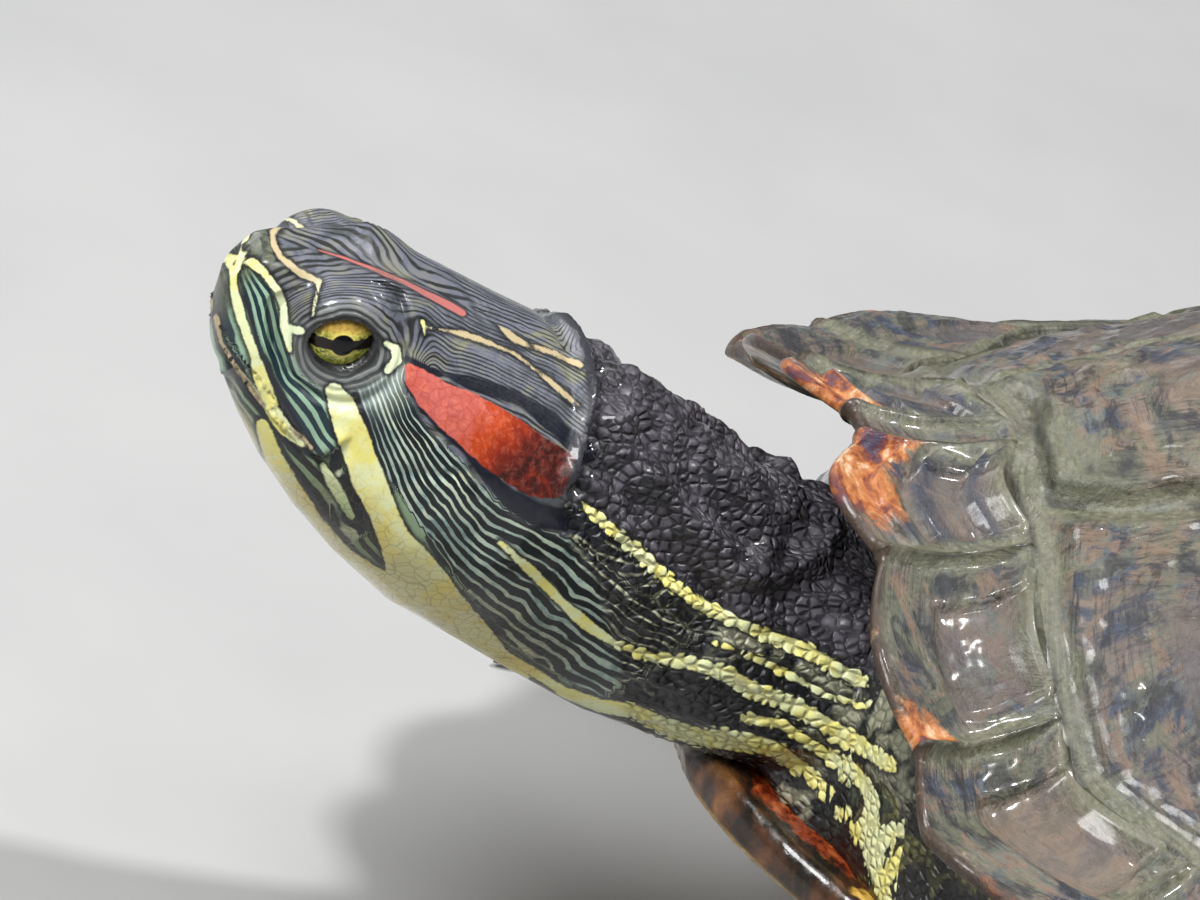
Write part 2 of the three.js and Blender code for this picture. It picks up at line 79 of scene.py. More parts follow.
# Carapace: vertebral and costal plates ---------------------------------------------------------
# The bony dome, fused to the backbone and ribs, under thin plates of horn: five down the middle
# and four a side. Each plate has a raised, ridged field and drops to a gutter along its seams.

HALF_LENGTH, HALF_WIDTH, SHELL_HEIGHT, CROWN_Y = 120, 92, 97, -6
SHELL_PITCH, PIVOT_Y, SINK = math.radians(11), 108, 0.8
RIM_HEIGHT = 27
SHELL_WALL = 4.4
HEAD_PITCH, HEAD_YAW, HEAD_ROLL = math.radians(11.7), math.radians(4.4), math.radians(4.5)
NOSTRILS = np.array([4.2, -198.6, 39.1])
EYE_PLACE = (11.7, 2.8, 5.8)  # behind, above and beside the middle of the nostrils


def smooth(low, high, value):
    share = np.clip((value - low) / (high - low), 0, 1)
    return share * share * (3 - 2 * share)


def blend(first, second, share):
    return first + (second - first) * share


def turned(vector, axis, angle):
    """A vector turned about an axis."""
    axis = axis / np.linalg.norm(axis)
    return vector * math.cos(angle) + np.cross(axis, vector) * math.sin(angle)


def head_axes(bend):
    """The head's backward, upward and leftward directions in the shell's frame; bend is 1 at the neck's root."""
    pitch = HEAD_PITCH - NECK_TURN * bend
    yaw, roll = HEAD_YAW * (1 - bend), HEAD_ROLL * (1 - bend)
    back = np.array([-math.sin(yaw) * math.cos(pitch), math.cos(yaw) * math.cos(pitch), -math.sin(pitch)])
    left = turned(np.array([math.cos(yaw), math.sin(yaw), 0]), back, roll)
    return back, np.cross(left, back), left


NECK_TURN = math.radians(14)
eye_low, eye_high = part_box("eye_left")
eye_middle = np.array((eye_low + eye_high) / 2) * 1000
back, above, left = head_axes(0)
eye_in_shell = NOSTRILS + back * EYE_PLACE[0] + above * EYE_PLACE[1] + left * EYE_PLACE[2]


def tilted(points):
    """The shell's level frame pitched nose up, before it is centred."""
    y, z = points[..., 1] - PIVOT_Y, points[..., 2]
    return np.stack(
        [
            points[..., 0],
            y * math.cos(SHELL_PITCH) + z * math.sin(SHELL_PITCH) + PIVOT_Y,
            z * math.cos(SHELL_PITCH) - y * math.sin(SHELL_PITCH) - SINK,
        ],
        -1,
    )


centring = eye_middle - tilted(eye_in_shell)


def placed(points):
    """Points of the shell's frame in millimetres, as places in the scene in metres."""
    return (tilted(points) + centring) * 0.001


def rim(angle, scallop):
    """The edge of the shell at an angle from the front midline; scallop is 0 at a seam and 1 amid a plate."""
    s, c = np.sin(angle), np.cos(angle)
    squareness = blend(2.25, 3, smooth(-0.1, 0.8, c))
    radius = ((np.abs(s) / HALF_WIDTH) ** squareness + (np.abs(c) / HALF_LENGTH) ** squareness) ** (-1 / squareness)
    y = -radius * c
    x = radius * s * (1 + 0.06 * y / HALF_LENGTH)
    front, rear = smooth(0.2, 0.9, c), smooth(0.2, 0.9, -c)
    reach = (scallop - 0.4) * (1.2 + 2.6 * front + 2.4 * rear)
    horn = 2.6 * np.exp(-(((np.abs(x) - 12) / 8) ** 2)) * front
    arch = (21 - 21 * np.minimum(1, (np.abs(x) / 53) ** 1.7)) * front
    return np.stack([x + s * reach, y - c * reach - horn, RIM_HEIGHT + arch + 8 * rear], -1)


def dome(angle, share, scallop=0.5, inset=0.0):
    """A point of the dome, from the crown at share 0 to the rim at share 1."""
    edge = rim(angle, scallop)
    c = np.cos(angle)
    to_front = np.cos(math.pi / 2 * share**1.45) ** 2
    to_rear = (1 - share**2.2) ** 0.95
    to_ends = blend(to_rear, to_front, smooth(-0.4, 0.4, c))
    rise = blend(to_ends, (1 - share**2.6) ** 0.62, np.sin(angle) ** 2)
    slump = 12 * np.sin(2 * angle) ** 2 * smooth(0, 0.5, c)
    bow = 4 * share**2 * (1 - share**2)
    lip = 0.4 * smooth(0.93, 1, share) * smooth(0.6, 0.95, c)
    pull = share * (1 - inset / np.hypot(edge[..., 0], edge[..., 1] - CROWN_Y))
    height = edge[..., 2] + (SHELL_HEIGHT - edge[..., 2]) * rise + lip - slump * bow - inset * 0.9
    return np.stack([edge[..., 0] * pull, CROWN_Y + (edge[..., 1] - CROWN_Y) * pull, height], -1)


def coordinates(mesh):
    found = np.empty(len(mesh.vertices) * 3)
    mesh.vertices.foreach_get("co", found)
    return found.reshape(-1, 3)


def move_to(mesh, points):
    mesh.vertices.foreach_set("co", np.ascontiguousarray(points, dtype=np.float32).ravel())
    mesh.update()


def normals_of(mesh):
    found = np.empty(len(mesh.vertices) * 3, dtype=np.float32)
    mesh.vertex_normals.foreach_get("vector", found)
    return found.reshape(-1, 3).astype(float)


def keep(mesh, name, values):
    """A number at each vertex, kept on the mesh for its finish."""
    attribute = mesh.attributes.new(name, "FLOAT", "POINT")
    attribute.data.foreach_set("value", np.asarray(values, dtype=np.float32))


def rough(points, size, octaves=3, seed=0.0):
    """Smooth noise of about plus or minus one, with features of a size in millimetres."""
    shift = Vector((seed, seed * 1.7, seed * 2.3))
    return np.array([noise.fractal(Vector(p) / size + shift, 1.0, 2.0, octaves) for p in points])


def to_line(points, line):
    """The distance of each point from a line through given points, and how far along it lies."""
    line = np.asarray(line, float)
    starts, ways = line[:-1], np.diff(line, axis=0)
    lengths = np.linalg.norm(ways, axis=1)
    reached = np.concatenate([[0], np.cumsum(lengths)])
    nearest, along = np.full(len(points), 1e9), np.zeros(len(points))
    for start, way, length, before in zip(starts, ways, lengths, reached):
        share = np.clip((points - start) @ way / length**2, 0, 1)
        distance = np.linalg.norm(points - start - share[:, None] * way, axis=1)
        closer = distance < nearest
        nearest[closer] = distance[closer]
        along[closer] = (before + share * length)[closer] / reached[-1]
    return nearest, along


def add_piece(name, mesh, nodes, finish):
    """A finished piece that stands for CAD nodes, smooth shaded."""
    mesh.materials.clear()
    mesh.materials.append(finish)
    mesh.shade_smooth()
    piece = bpy.data.objects.new(name, mesh)
    bpy.context.scene.collection.objects.link(piece)
    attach(piece, "root")
    if nodes:
        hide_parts(*nodes)
    return piece


def mesh_from(form, name):
    mesh = bpy.data.meshes.new(name)
    form.to_mesh(mesh)
    form.free()
    return mesh


def gutter_share(angle):
    """Where the marginal plates meet the rest."""
    return blend(0.845, 0.825, smooth(0, 0.8, np.cos(angle)))


# Seams of the left side, mirrored to the right, on the plan of the shell.
VERTEBRAL_SIDES = [(13.5, -99), (15.6, -92), (17.8, -78), (18, -61), (31, -38), (19, -17), (33, 8), (19, 31),
                   (31, 52), (15, 74), (22, 86), (38, 99)]
VERTEBRAL_SEAMS = [[(0, -62.5), (9, -60), (18, -61)], [(0, -19), (10, -16), (19, -17)],
                   [(0, 29), (10, 32), (19, 31)], [(0, 72), (8, 75), (15, 74)]]
COSTAL_SEAMS = [[(31, -38), (52, -43), (84, -48)], [(33, 8), (58, 9), (88, 10)], [(31, 52), (48, 60), (74, 73)]]
PLATE_MIDDLES = [(0, -81), (0, -38), (0, 8), (0, 52), (0, 90), (38, -66), (56, -18), (55, 33), (43, 76)]
GUTTER_WIDTH = 2.6
DOME_FACES = 296
TUCK = 0.018  # how far the dome runs on under the marginal plates, as a share of its reach

form = bmesh.new()
bmesh.ops.create_grid(form, x_segments=DOME_FACES, y_segments=DOME_FACES, size=1)
skirt = bmesh.ops.extrude_edge_only(form, edges=[e for e in form.edges if e.is_boundary])["geom"]
for corner in (v for v in skirt if isinstance(v, bmesh.types.BMVert)):
    corner.co.z = -1
bmesh.ops.holes_fill(form, edges=[e for e in form.edges if e.is_boundary], sides=0)
floor_face = [f for f in form.faces if len(f.verts) > 4]
bmesh.ops.triangulate(form, faces=floor_face)
dome_mesh = mesh_from(form, "carapace_plates")

square = coordinates(dome_mesh)
a, b, buried = square[:, 0], square[:, 1], square[:, 2] < -0.5
wider = np.abs(a) > np.abs(b)
share = np.maximum(np.abs(a), np.abs(b))
with np.errstate(divide="ignore", invalid="ignore"):
    slant = np.where(wider, math.pi / 4 * b / a, math.pi / 2 - math.pi / 4 * a / b)
slant = np.nan_to_num(slant)
sign = np.where(wider, np.sign(a), np.sign(b))
angle = np.arctan2(np.cos(slant) * sign, -np.sin(slant) * sign)
share = share * (gutter_share(angle) + TUCK)
on_dome = dome(angle, share)
plan = np.abs(on_dome[:, :2] * [1, 0]) + on_dome[:, :2] * [0, 1]

seam_distance = np.full(len(plan), 1e9)
beside_seam = angle * 100
for line in [VERTEBRAL_SIDES, *VERTEBRAL_SEAMS, *COSTAL_SEAMS]:
    distance, along = to_line(plan, line)
    length = np.linalg.norm(np.diff(np.array(line, float), axis=0), axis=1).sum()
    beside_seam = np.where(distance < seam_distance, along * length, beside_seam)
    seam_distance = np.minimum(seam_distance, distance)
between_plates = seam_distance
to_gutter = (gutter_share(angle) - share) * np.hypot(rim(angle, 0.5)[:, 0], rim(angle, 0.5)[:, 1] - CROWN_Y)
seam_distance = np.minimum(seam_distance, np.maximum(to_gutter, 0))
beside_seam = np.where(to_gutter < between_plates, angle * 100, beside_seam)
front_edge = to_line(plan, [(0, -99), (13.5, -99)])[0]
seam_distance = np.minimum(seam_distance, front_edge)

middles = np.array(PLATE_MIDDLES, float)
from_middles = np.linalg.norm(plan[:, None, :] - middles[None], axis=2)
plate = from_middles.argmin(axis=1)
weather = rough(on_dome, 14, 4) * smooth(0, 2.5, to_gutter)
grain = rough(on_dome * [1, 0.35, 0.35], 2.2, 2, 5.0)
field = smooth(0.4, GUTTER_WIDTH, between_plates + 0.5 * weather) * smooth(1.5, 3.8, to_gutter + 0.5 * weather)
ridge_phase = seam_distance / 1.9 + 0.35 * weather
ridges = np.sin(2 * math.pi * ridge_phase) * smooth(1, 4, seam_distance) * (0.55 + 0.45 * weather)
flakes = rough(on_dome * [0.5, 1, 1], 5, 3, 11.0)
terraces = 0.3 * np.clip(np.sin(math.tau * seam_distance / 5.2 + 2.0 * weather) * 1.3, -1, 1) * smooth(-0.5, 0.4, flakes)
keel_rise = smooth(0, 22, plan[:, 1] % 46) * smooth(-104, -96, plan[:, 1])
keel = 1.7 * np.exp(-((plan[:, 0] / 3.4) ** 2)) * (0.55 + 0.45 * keel_rise)
crease = 0.4 * np.exp(-((between_plates / 0.35) ** 2)) * smooth(0.5, 3, to_gutter)
raised = 1.25 * field - 0.55 + 0.1 * ridges + keel * field + 0.3 * weather + 0.09 * grain * field - crease
raised += 0.3 * field * smooth(0.05, 0.3, flakes) + terraces * field
lapped = smooth(0, -0.9, to_gutter)

move_to(dome_mesh, on_dome)
outward = blend(normals_of(dome_mesh), np.array([0, 0, 1.0]), smooth(1.6, 0.4, to_gutter)[:, None])
shaped = on_dome + outward * (raised - 1.3 * lapped)[:, None] * (~buried)[:, None]
shaped = shaped - buried[:, None] * np.array([0, 0, 3.0])
move_to(dome_mesh, placed(shaped))
keep(dome_mesh, "seam_distance", seam_distance)
keep(dome_mesh, "plate", (plate * 0.37) % 1)
keep(dome_mesh, "ridge_phase", ridge_phase)
keep(dome_mesh, "edge", np.zeros(len(plan)))
keep(dome_mesh, "beside_seam", beside_seam)
keep(dome_mesh, "areola", smooth(9, 14, seam_distance + 1.5 * weather))


# Carapace: nuchal and marginal plates ----------------------------------------------------------
# The rim of the shell: a narrow nuchal plate over the neck and twelve plates a side, each folded
# over the bony edge. Their outer edges are worn back to orange horn; below they are yellow.

NUCHAL_HALF_WIDTH = 3.6
FIRST_MARGINALS = [19.5, 26.5]
MARGINALS = 12
EDGE_RADIUS = 1.05
RIM_STEPS, SECTION_STEPS = 1180, 80

half_turn = np.linspace(0, math.pi, 2001)
rim_line = rim(half_turn, 0.5)
rim_lengths = np.concatenate([[0], np.cumsum(np.linalg.norm(np.diff(rim_line, axis=0), axis=1))])
first_seams = np.cumsum([NUCHAL_HALF_WIDTH, *FIRST_MARGINALS])
later_seams = np.linspace(first_seams[-1], rim_lengths[-1], MARGINALS - len(FIRST_MARGINALS) + 1)
seam_lengths = np.concatenate([first_seams[:-1], later_seams])
seam_angles = np.interp(seam_lengths, rim_lengths, half_turn)

form = bmesh.new()
bmesh.ops.create_grid(form, x_segments=RIM_STEPS, y_segments=SECTION_STEPS, size=math.pi)
for corner in form.verts:
    turn, section = corner.co.x, corner.co.y
    corner.co = ((3 - math.cos(section)) * math.cos(turn), (3 - math.cos(section)) * math.sin(turn), math.sin(section))
bmesh.ops.remove_doubles(form, verts=form.verts, dist=1e-5)
marginal_mesh = mesh_from(form, "carapace_marginals")

tube = coordinates(marginal_mesh)
turn = np.arctan2(tube[:, 1], tube[:, 0])
angle = turn - 0.3 * np.sin(turn)
round_section = np.arctan2(tube[:, 2], 3 - np.hypot(tube[:, 0], tube[:, 1])) % math.tau / math.tau

reached = np.interp(np.abs(angle), half_turn, rim_lengths)
plate = np.searchsorted(seam_lengths, reached)
bounds_of_plates = np.concatenate([[-NUCHAL_HALF_WIDTH], seam_lengths])
plate = np.clip(plate, 0, MARGINALS)
plate_start, plate_end = bounds_of_plates[plate], bounds_of_plates[plate + 1]
across = np.clip((reached - plate_start) / (plate_end - plate_start), 0, 1)
scallop = np.where(plate == 0, 0.0, 1 - np.abs(2 * across - 1) ** 1.8)

gutter = gutter_share(angle)
edge = rim(angle, scallop)
reach = np.hypot(edge[:, 0], edge[:, 1] - CROWN_Y)
edge_radius = np.full(len(angle), EDGE_RADIUS)
beside_bridge = smooth(0.62, 0.42, np.cos(angle))  # here the plates fold down to the bridge
edge_share = 1 - edge_radius * blend(1, 0.12, beside_bridge) / reach
TOP, ROUND, UNDER = 0.5, 0.6, 0.92
on_top = np.clip(round_section / TOP, 0, 1)
on_round = np.clip((round_section - TOP) / (ROUND - TOP), 0, 1)
on_under = np.clip((round_section - ROUND) / (UNDER - ROUND), 0, 1)
on_wall = np.clip((round_section - UNDER) / (1 - UNDER), 0, 1)
INNER_SHARE = 0.79
LAP = 0.012  # how far the plates dip under the dome's, as a share of its reach
share = blend(gutter - LAP, edge_share, 1 - (1 - on_top) ** 1.3)
share = blend(share, INNER_SHARE, on_under)
share = blend(share, gutter - LAP, on_wall)
points = dome(angle, share, scallop)
outward = np.stack([np.sin(angle), -np.cos(angle), np.zeros(len(angle))], -1)
roll = on_round * math.pi
below = edge_radius * (1 - np.cos(roll)) + (SHELL_WALL - 2 * EDGE_RADIUS) * on_under
points = points + outward * (0.8 * edge_radius * np.sin(roll))[:, None]
points[:, 2] -= np.where(on_wall > 0, blend(SHELL_WALL + 1, 2.0, on_wall), below)

depth = reach * (1 - gutter)
out_across = np.clip((share - gutter) / (edge_share - gutter), 0, 1)
to_seam = np.minimum(reached - plate_start, plate_end - reached)
to_seam = np.where(plate == 0, NUCHAL_HALF_WIDTH - reached, to_seam)
to_gutter = out_across * depth
seam_distance = np.minimum(to_seam, to_gutter + 0.8 * on_under + 6 * on_round)
topside = 1 - smooth(0.2, 0.9, on_round)
weather = rough(points, 9, 4, 3.0)
grain = rough(points * [1, 1, 0.4], 1.8, 2, 7.0)
along_plate = (across - 0.57) / 0.31
down_plate = (out_across - 0.3) / 0.3
areola = 1 - smooth(0.9, 1.02, np.maximum(np.abs(along_plate + 0.12 * weather), np.abs(down_plate)))
areola = np.where(plate == 0, 0, areola)
ridge_phase = np.maximum(np.abs(along_plate) * 1.6, np.abs(down_plate) * 2.2) * 1.5 + 0.25 * weather
ridges = np.sin(2 * math.pi * ridge_phase) * (1 - 0.6 * areola)
weather = weather * np.where(on_round > 0, 1, smooth(0, 2.5, to_gutter))
field = smooth(0.3, 2.4, np.minimum(to_seam * 1.4, to_gutter - 1.2) + 0.3 * weather)
crease = 0.5 * np.exp(-((to_seam / 0.4) ** 2)) * smooth(0.8, 4, to_gutter)
terrace = np.interp(out_across + 0.03 * weather, [0, 0.2, 0.51, 0.71, 1.3], range(5)) % 1
steps = (1 - terrace) * smooth(0, 0.09, terrace) * (plate == 1)
raised = 0.95 * field - 0.55 + 1.1 * areola + 0.06 * ridges * field + 0.3 * weather + 0.1 * grain * field
raised += 1.5 * (steps - 0.4) * (plate == 1) * field
raised = (raised * topside - crease * (1 - on_wall)) * np.where(on_wall > 0, 0, 1)
lapped = smooth(0, -0.9, (share - gutter) * reach) * (round_section < TOP)

move_to(marginal_mesh, points)
upright = (smooth(1.6, 0.4, (share - gutter) * reach) * (round_section < TOP))[:, None]
outward = blend(normals_of(marginal_mesh), np.array([0, 0, 1.0]), upright)
shaped = points + outward * (raised - 1.1 * lapped)[:, None]
move_to(marginal_mesh, placed(shaped))
keep(marginal_mesh, "seam_distance", np.minimum(to_seam, to_gutter + 20 * (1 - topside)))
keep(marginal_mesh, "plate", (plate * 0.37 + np.where(angle < 0, 0.51, 0)) % 1)
keep(marginal_mesh, "ridge_phase", np.where(plate == 1, out_across * 3.2 + 0.12 * weather, ridge_phase))
keep(marginal_mesh, "edge", out_across * (1 - on_under) + on_round + on_under * 1.0)
keep(marginal_mesh, "across", across)
# Painted shade: the low troughs between the steps of the first marginals are darkened in the finish.
keep(marginal_mesh, "trough_shade", (plate == 1) * smooth(0.55, 0.2, steps) * field * smooth(0.85, 0.7, out_across))
keep(marginal_mesh, "beside_seam", np.where(to_gutter < to_seam, reached, 40 + to_gutter))
tip = np.select([plate == 0, plate == 1, plate == 2], [0.0, smooth(0.45, 0.8, out_across) * smooth(1.0, 0.5, across),
                                                       smooth(0.55, 0.9, out_across) * smooth(0.6, 0.95, across)],
                0.2 * smooth(0.85, 1.0, out_across))
keep(marginal_mesh, "tip", tip)
keep(marginal_mesh, "areola", areola)


# Wet horn, for both parts of the carapace: olive and slate growth rings under a thin green film
# that fills the gutters, worn to pink-brown and orange along the outer edges.


WATER = 1.33


def finish(name, roughness=0.5, coat=0.0, coat_roughness=0.05, ior=1.4):
    """A new finish: the material, its node tree and its surface shader."""
    material = bpy.data.materials.new(name)
    material.use_nodes = True
    tree = material.node_tree
    surface = tree.nodes["Principled BSDF"]
    surface.inputs["Roughness"].default_value = roughness
    surface.inputs["Coat Weight"].default_value = coat
    surface.inputs["Coat Roughness"].default_value = coat_roughness
    surface.inputs["Coat IOR"].default_value = WATER
    surface.inputs["IOR"].default_value = ior
    return material, tree, surface


def give(tree, socket, value):
    """Links another socket to this one, or sets its plain value."""
    if isinstance(value, bpy.types.NodeSocket):
        tree.links.new(value, socket)
    elif isinstance(value, tuple) and len(value) == 3 and socket.type == "RGBA":
        socket.default_value = (*value, 1)
    else:
        socket.default_value = value


def place_of(tree, scale=(1000, 1000, 1000)):
    """The place on the object in millimetres, stretched by scale / 1000."""
    where = tree.nodes.new("ShaderNodeTexCoord").outputs["Object"]
    stretch = tree.nodes.new("ShaderNodeVectorMath")
    stretch.operation = "MULTIPLY"
    tree.links.new(where, stretch.inputs[0])
    stretch.inputs[1].default_value = scale
    return stretch.outputs[0]


def noise_at(tree, where, scale, detail=3.0, distortion=0.0, roughness=0.5):
    node = tree.nodes.new("ShaderNodeTexNoise")
    give(tree, node.inputs["Vector"], where)
    node.inputs["Scale"].default_value = scale
    node.inputs["Detail"].default_value = detail
    node.inputs["Roughness"].default_value = roughness
    node.inputs["Distortion"].default_value = distortion
    return node.outputs["Fac"]


def cells_at(tree, where, scale, feature="DISTANCE_TO_EDGE", randomness=1.0):
    node = tree.nodes.new("ShaderNodeTexVoronoi")
    node.feature = feature
    give(tree, node.inputs["Vector"], where)
    node.inputs["Scale"].default_value = scale
    node.inputs["Randomness"].default_value = randomness
    return node.outputs["Distance"]


def number_at(tree, name):
    node = tree.nodes.new("ShaderNodeAttribute")
    node.attribute_name = name
    return node.outputs["Fac"]


def sum_of(tree, operation, first, second=0.0, third=0.0, clamp=False):
    node = tree.nodes.new("ShaderNodeMath")
    node.operation = operation
    node.use_clamp = clamp
    for socket, value in zip(node.inputs, (first, second, third)):
        give(tree, socket, value)
    return node.outputs[0]


def between(tree, value, low, high, start=0.0, end=1.0):
    """A value's smooth passage from low to high, given as start to end."""
    node = tree.nodes.new("ShaderNodeMapRange")
    node.interpolation_type = "SMOOTHSTEP"
    for name, setting in (("Value", value), ("From Min", low), ("From Max", high), ("To Min", start), ("To Max", end)):
        give(tree, node.inputs[name], setting)
    return node.outputs["Result"]


def mixed(tree, share, first, second, kind="MIX"):
    node = tree.nodes.new("ShaderNodeMix")
    node.data_type = "RGBA"
    node.blend_type = kind
    node.clamp_factor = True
    give(tree, node.inputs["Factor"], share)
    colours = [s for s in node.inputs if s.type == "RGBA"]
    give(tree, colours[0], first)
    give(tree, colours[1], second)
    return next(s for s in node.outputs if s.type == "RGBA")


def shades(tree, value, *stops):
    """Colours along a value, as pairs of place and colour."""
    node = tree.nodes.new("ShaderNodeValToRGB")
    ramp = node.color_ramp
    while len(ramp.elements) < len(stops):
        ramp.elements.new(1)
    for element, (where, colour) in zip(ramp.elements, stops):
        element.position = where
        element.color = (*colour, 1)
    give(tree, node.inputs["Fac"], value)
    return node.outputs["Color"]


def relief(tree, surface, height, depth, strength=1.0):
    """Fine relief of a depth in millimetres."""
    node = tree.nodes.new("ShaderNodeBump")
    node.inputs["Strength"].default_value = strength
    node.inputs["Distance"].default_value = depth * 0.001
    give(tree, node.inputs["Height"], height)
    tree.links.new(node.outputs["Normal"], surface.inputs["Normal"])


def drawn_out(tree, phase, spread):
    """A place at which a pattern is drawn out into streaks along the lines of one phase."""
    across_lines = tree.nodes.new("ShaderNodeCombineXYZ")
    give(tree, across_lines.inputs[0], phase)
    joined = tree.nodes.new("ShaderNodeVectorMath")
    joined.operation = "MULTIPLY_ADD"
    tree.links.new(place_of(tree), joined.inputs[0])
    joined.inputs[1].default_value = (spread, spread, spread)
    tree.links.new(across_lines.outputs[0], joined.inputs[2])
    return joined.outputs[0]


wet_horn, tree, surface = finish("wet_horn", roughness=0.4, coat=0.8, coat_roughness=0.13)
where = place_of(tree)
blotches = noise_at(tree, where, 0.06, 5, 1.5, 0.6)
patches = noise_at(tree, where, 0.11, 7, 0.8, 0.65)
fine = noise_at(tree, where, 1.4, 5, 0.3, 0.7)
seam = number_at(tree, "seam_distance")
plate_tone = number_at(tree, "plate")
edge_place = number_at(tree, "edge")
phase = number_at(tree, "ridge_phase")
banded = drawn_out(tree, sum_of(tree, "MULTIPLY", phase, 0.4), 0.16)
bands = noise_at(tree, banded, 1.1, 7, 0.5, 0.68)
scratches = noise_at(tree, drawn_out(tree, sum_of(tree, "MULTIPLY", phase, 5.0), 0.25), 1.0, 5, 0.2, 0.7)
horn = shades(tree, blotches, (0.32, (0.020, 0.024, 0.026)), (0.42, (0.095, 0.10, 0.075)), (0.49, (0.22, 0.165, 0.125)),
              (0.55, (0.035, 0.05, 0.08)), (0.61, (0.08, 0.10, 0.14)), (0.70, (0.20, 0.21, 0.18)))
horn = mixed(tree, between(tree, bands, 0.50, 0.60, 0, 0.65), horn, (0.185, 0.135, 0.095))
horn = mixed(tree, between(tree, bands, 0.46, 0.36, 0, 0.85), horn, (0.024, 0.027, 0.032))
horn = mixed(tree, between(tree, number_at(tree, "areola"), 0.3, 0.7, 0, 0.65), horn, (0.20, 0.148, 0.112))
off_areola = between(tree, number_at(tree, "areola"), 0.2, 0.8, 1.0, 0.25)
ladder = tree.nodes.new("ShaderNodeCombineXYZ")
give(tree, ladder.inputs[0], sum_of(tree, "MULTIPLY", phase, 0.8))
give(tree, ladder.inputs[1], number_at(tree, "beside_seam"))
dashes = noise_at(tree, ladder.outputs[0], 1.0, 3, 0.2, 0.6)
dash_rows = sum_of(tree, "MULTIPLY", between(tree, dashes, 0.50, 0.60), between(tree, patches, 0.40, 0.52, 0.0, 0.85))
horn = mixed(tree, sum_of(tree, "MULTIPLY", dash_rows, off_areola), horn, (0.045, 0.030, 0.026))
scratched = sum_of(tree, "MULTIPLY", between(tree, scratches, 0.5, 0.6), between(tree, patches, 0.62, 0.45, 0.1, 0.75))
scratched = sum_of(tree, "MULTIPLY", scratched, off_areola)
horn = mixed(tree, scratched, horn, (0.026, 0.024, 0.022))
horn = mixed(tree, between(tree, patches, 0.54, 0.62, 0, 0.6), horn, (0.16, 0.18, 0.15))
horn = mixed(tree, sum_of(tree, "MULTIPLY", plate_tone, 0.35), horn, (0.04, 0.052, 0.08))
# Painted shade in the troughs between the steps of the first marginals.
horn = mixed(tree, sum_of(tree, "MULTIPLY", number_at(tree, "trough_shade"), 0.8), horn, (0.04, 0.048, 0.07))
film_patches = between(tree, noise_at(tree, where, 0.085, 6, 2.0, 0.6), 0.48, 0.58, 0, 0.75)
film_patches = sum_of(tree, "MULTIPLY", film_patches, off_areola)
film = sum_of(tree, "ADD", between(tree, seam, 0.9, 3.4, 0.95, 0.0), film_patches, clamp=True)
film = sum_of(tree, "MULTIPLY", film, between(tree, scratches, 0.42, 0.6, 1.0, 0.55))
film_colour = shades(tree, fine, (0.3, (0.09, 0.092, 0.055)), (0.55, (0.165, 0.165, 0.11)), (0.75, (0.26, 0.265, 0.20)))
colour = mixed(tree, film, horn, film_colour)
on_plate = sum_of(tree, "MULTIPLY", between(tree, seam, 2.6, 4.2), off_areola)
dark_bands = sum_of(tree, "MULTIPLY", between(tree, bands, 0.48, 0.40, 0, 0.72), on_plate)
colour = mixed(tree, dark_bands, colour, (0.030, 0.029, 0.034))
brown_bands = sum_of(tree, "MULTIPLY", between(tree, bands, 0.53, 0.60, 0, 0.5), on_plate)
colour = mixed(tree, brown_bands, colour, (0.26, 0.165, 0.11))
wear = sum_of(tree, "ADD", patches, sum_of(tree, "MULTIPLY", fine, 0.2))
worn_edge = sum_of(tree, "ADD", wear, sum_of(tree, "MULTIPLY", number_at(tree, "tip"), 0.4))
worn_edge = sum_of(tree, "MULTIPLY", between(tree, worn_edge, 0.75, 0.9), between(tree, edge_place, 0.1, 0.6))
peel = noise_at(tree, where, 0.16, 7, 0.5, 0.66)
orange = shades(tree, peel, (0.36, (0.075, 0.06, 0.10)), (0.43, (0.15, 0.035, 0.03)), (0.49, (0.42, 0.13, 0.03)),
                (0.55, (0.56, 0.24, 0.09)), (0.60, (0.76, 0.55, 0.36)), (0.67, (0.48, 0.16, 0.05)))
colour = mixed(tree, between(tree, edge_place, 0.94, 1.08, 0, 0.85), colour, (0.055, 0.03, 0.018))
colour = mixed(tree, worn_edge, colour, orange)
underside = between(tree, edge_place, 1.8, 1.98)
yellow_horn = shades(tree, blotches, (0.4, (0.40, 0.20, 0.04)), (0.58, (0.56, 0.33, 0.09)))
from_middle = sum_of(tree, "ABSOLUTE", sum_of(tree, "SUBTRACT", number_at(tree, "across"), 0.5))
ocellus = between(tree, sum_of(tree, "ADD", from_middle, sum_of(tree, "MULTIPLY", patches, 0.4)), 0.42, 0.52)
yellow_horn = mixed(tree, sum_of(tree, "MULTIPLY", ocellus, 0.9), yellow_horn, (0.025, 0.017, 0.012))
colour = mixed(tree, underside, colour, yellow_horn)
# Painted shade: thin dark lines, broken by noise, along the seams between the plates.
seam_shade = sum_of(tree, "MULTIPLY", between(tree, seam, 0.1, 0.8, 0.85, 0), between(tree, patches, 0.42, 0.56))
colour = mixed(tree, seam_shade, colour, (0.022, 0.022, 0.014))
colour = mixed(tree, 0.21, colour, (0.0, 0.0, 0.0))
give(tree, surface.inputs["Base Color"], colour)
give(tree, surface.inputs["Roughness"], between(tree, fine, 0.3, 0.7, 0.28, 0.55))
give(tree, surface.inputs["Coat Weight"], between(tree, patches, 0.40, 0.58, 0.75, 0.1))
height = sum_of(tree, "ADD", sum_of(tree, "MULTIPLY", fine, 0.3), sum_of(tree, "MULTIPLY", scratches, 0.45))
height = sum_of(tree, "ADD", height, sum_of(tree, "MULTIPLY", bands, 1.2))
height = sum_of(tree, "MULTIPLY", height, between(tree, seam, 1.0, 3.5, 0.25, 1.0))
height = sum_of(tree, "ADD", height, sum_of(tree, "MULTIPLY", patches, 1.6))
relief(tree, surface, height, 0.7, 0.8)

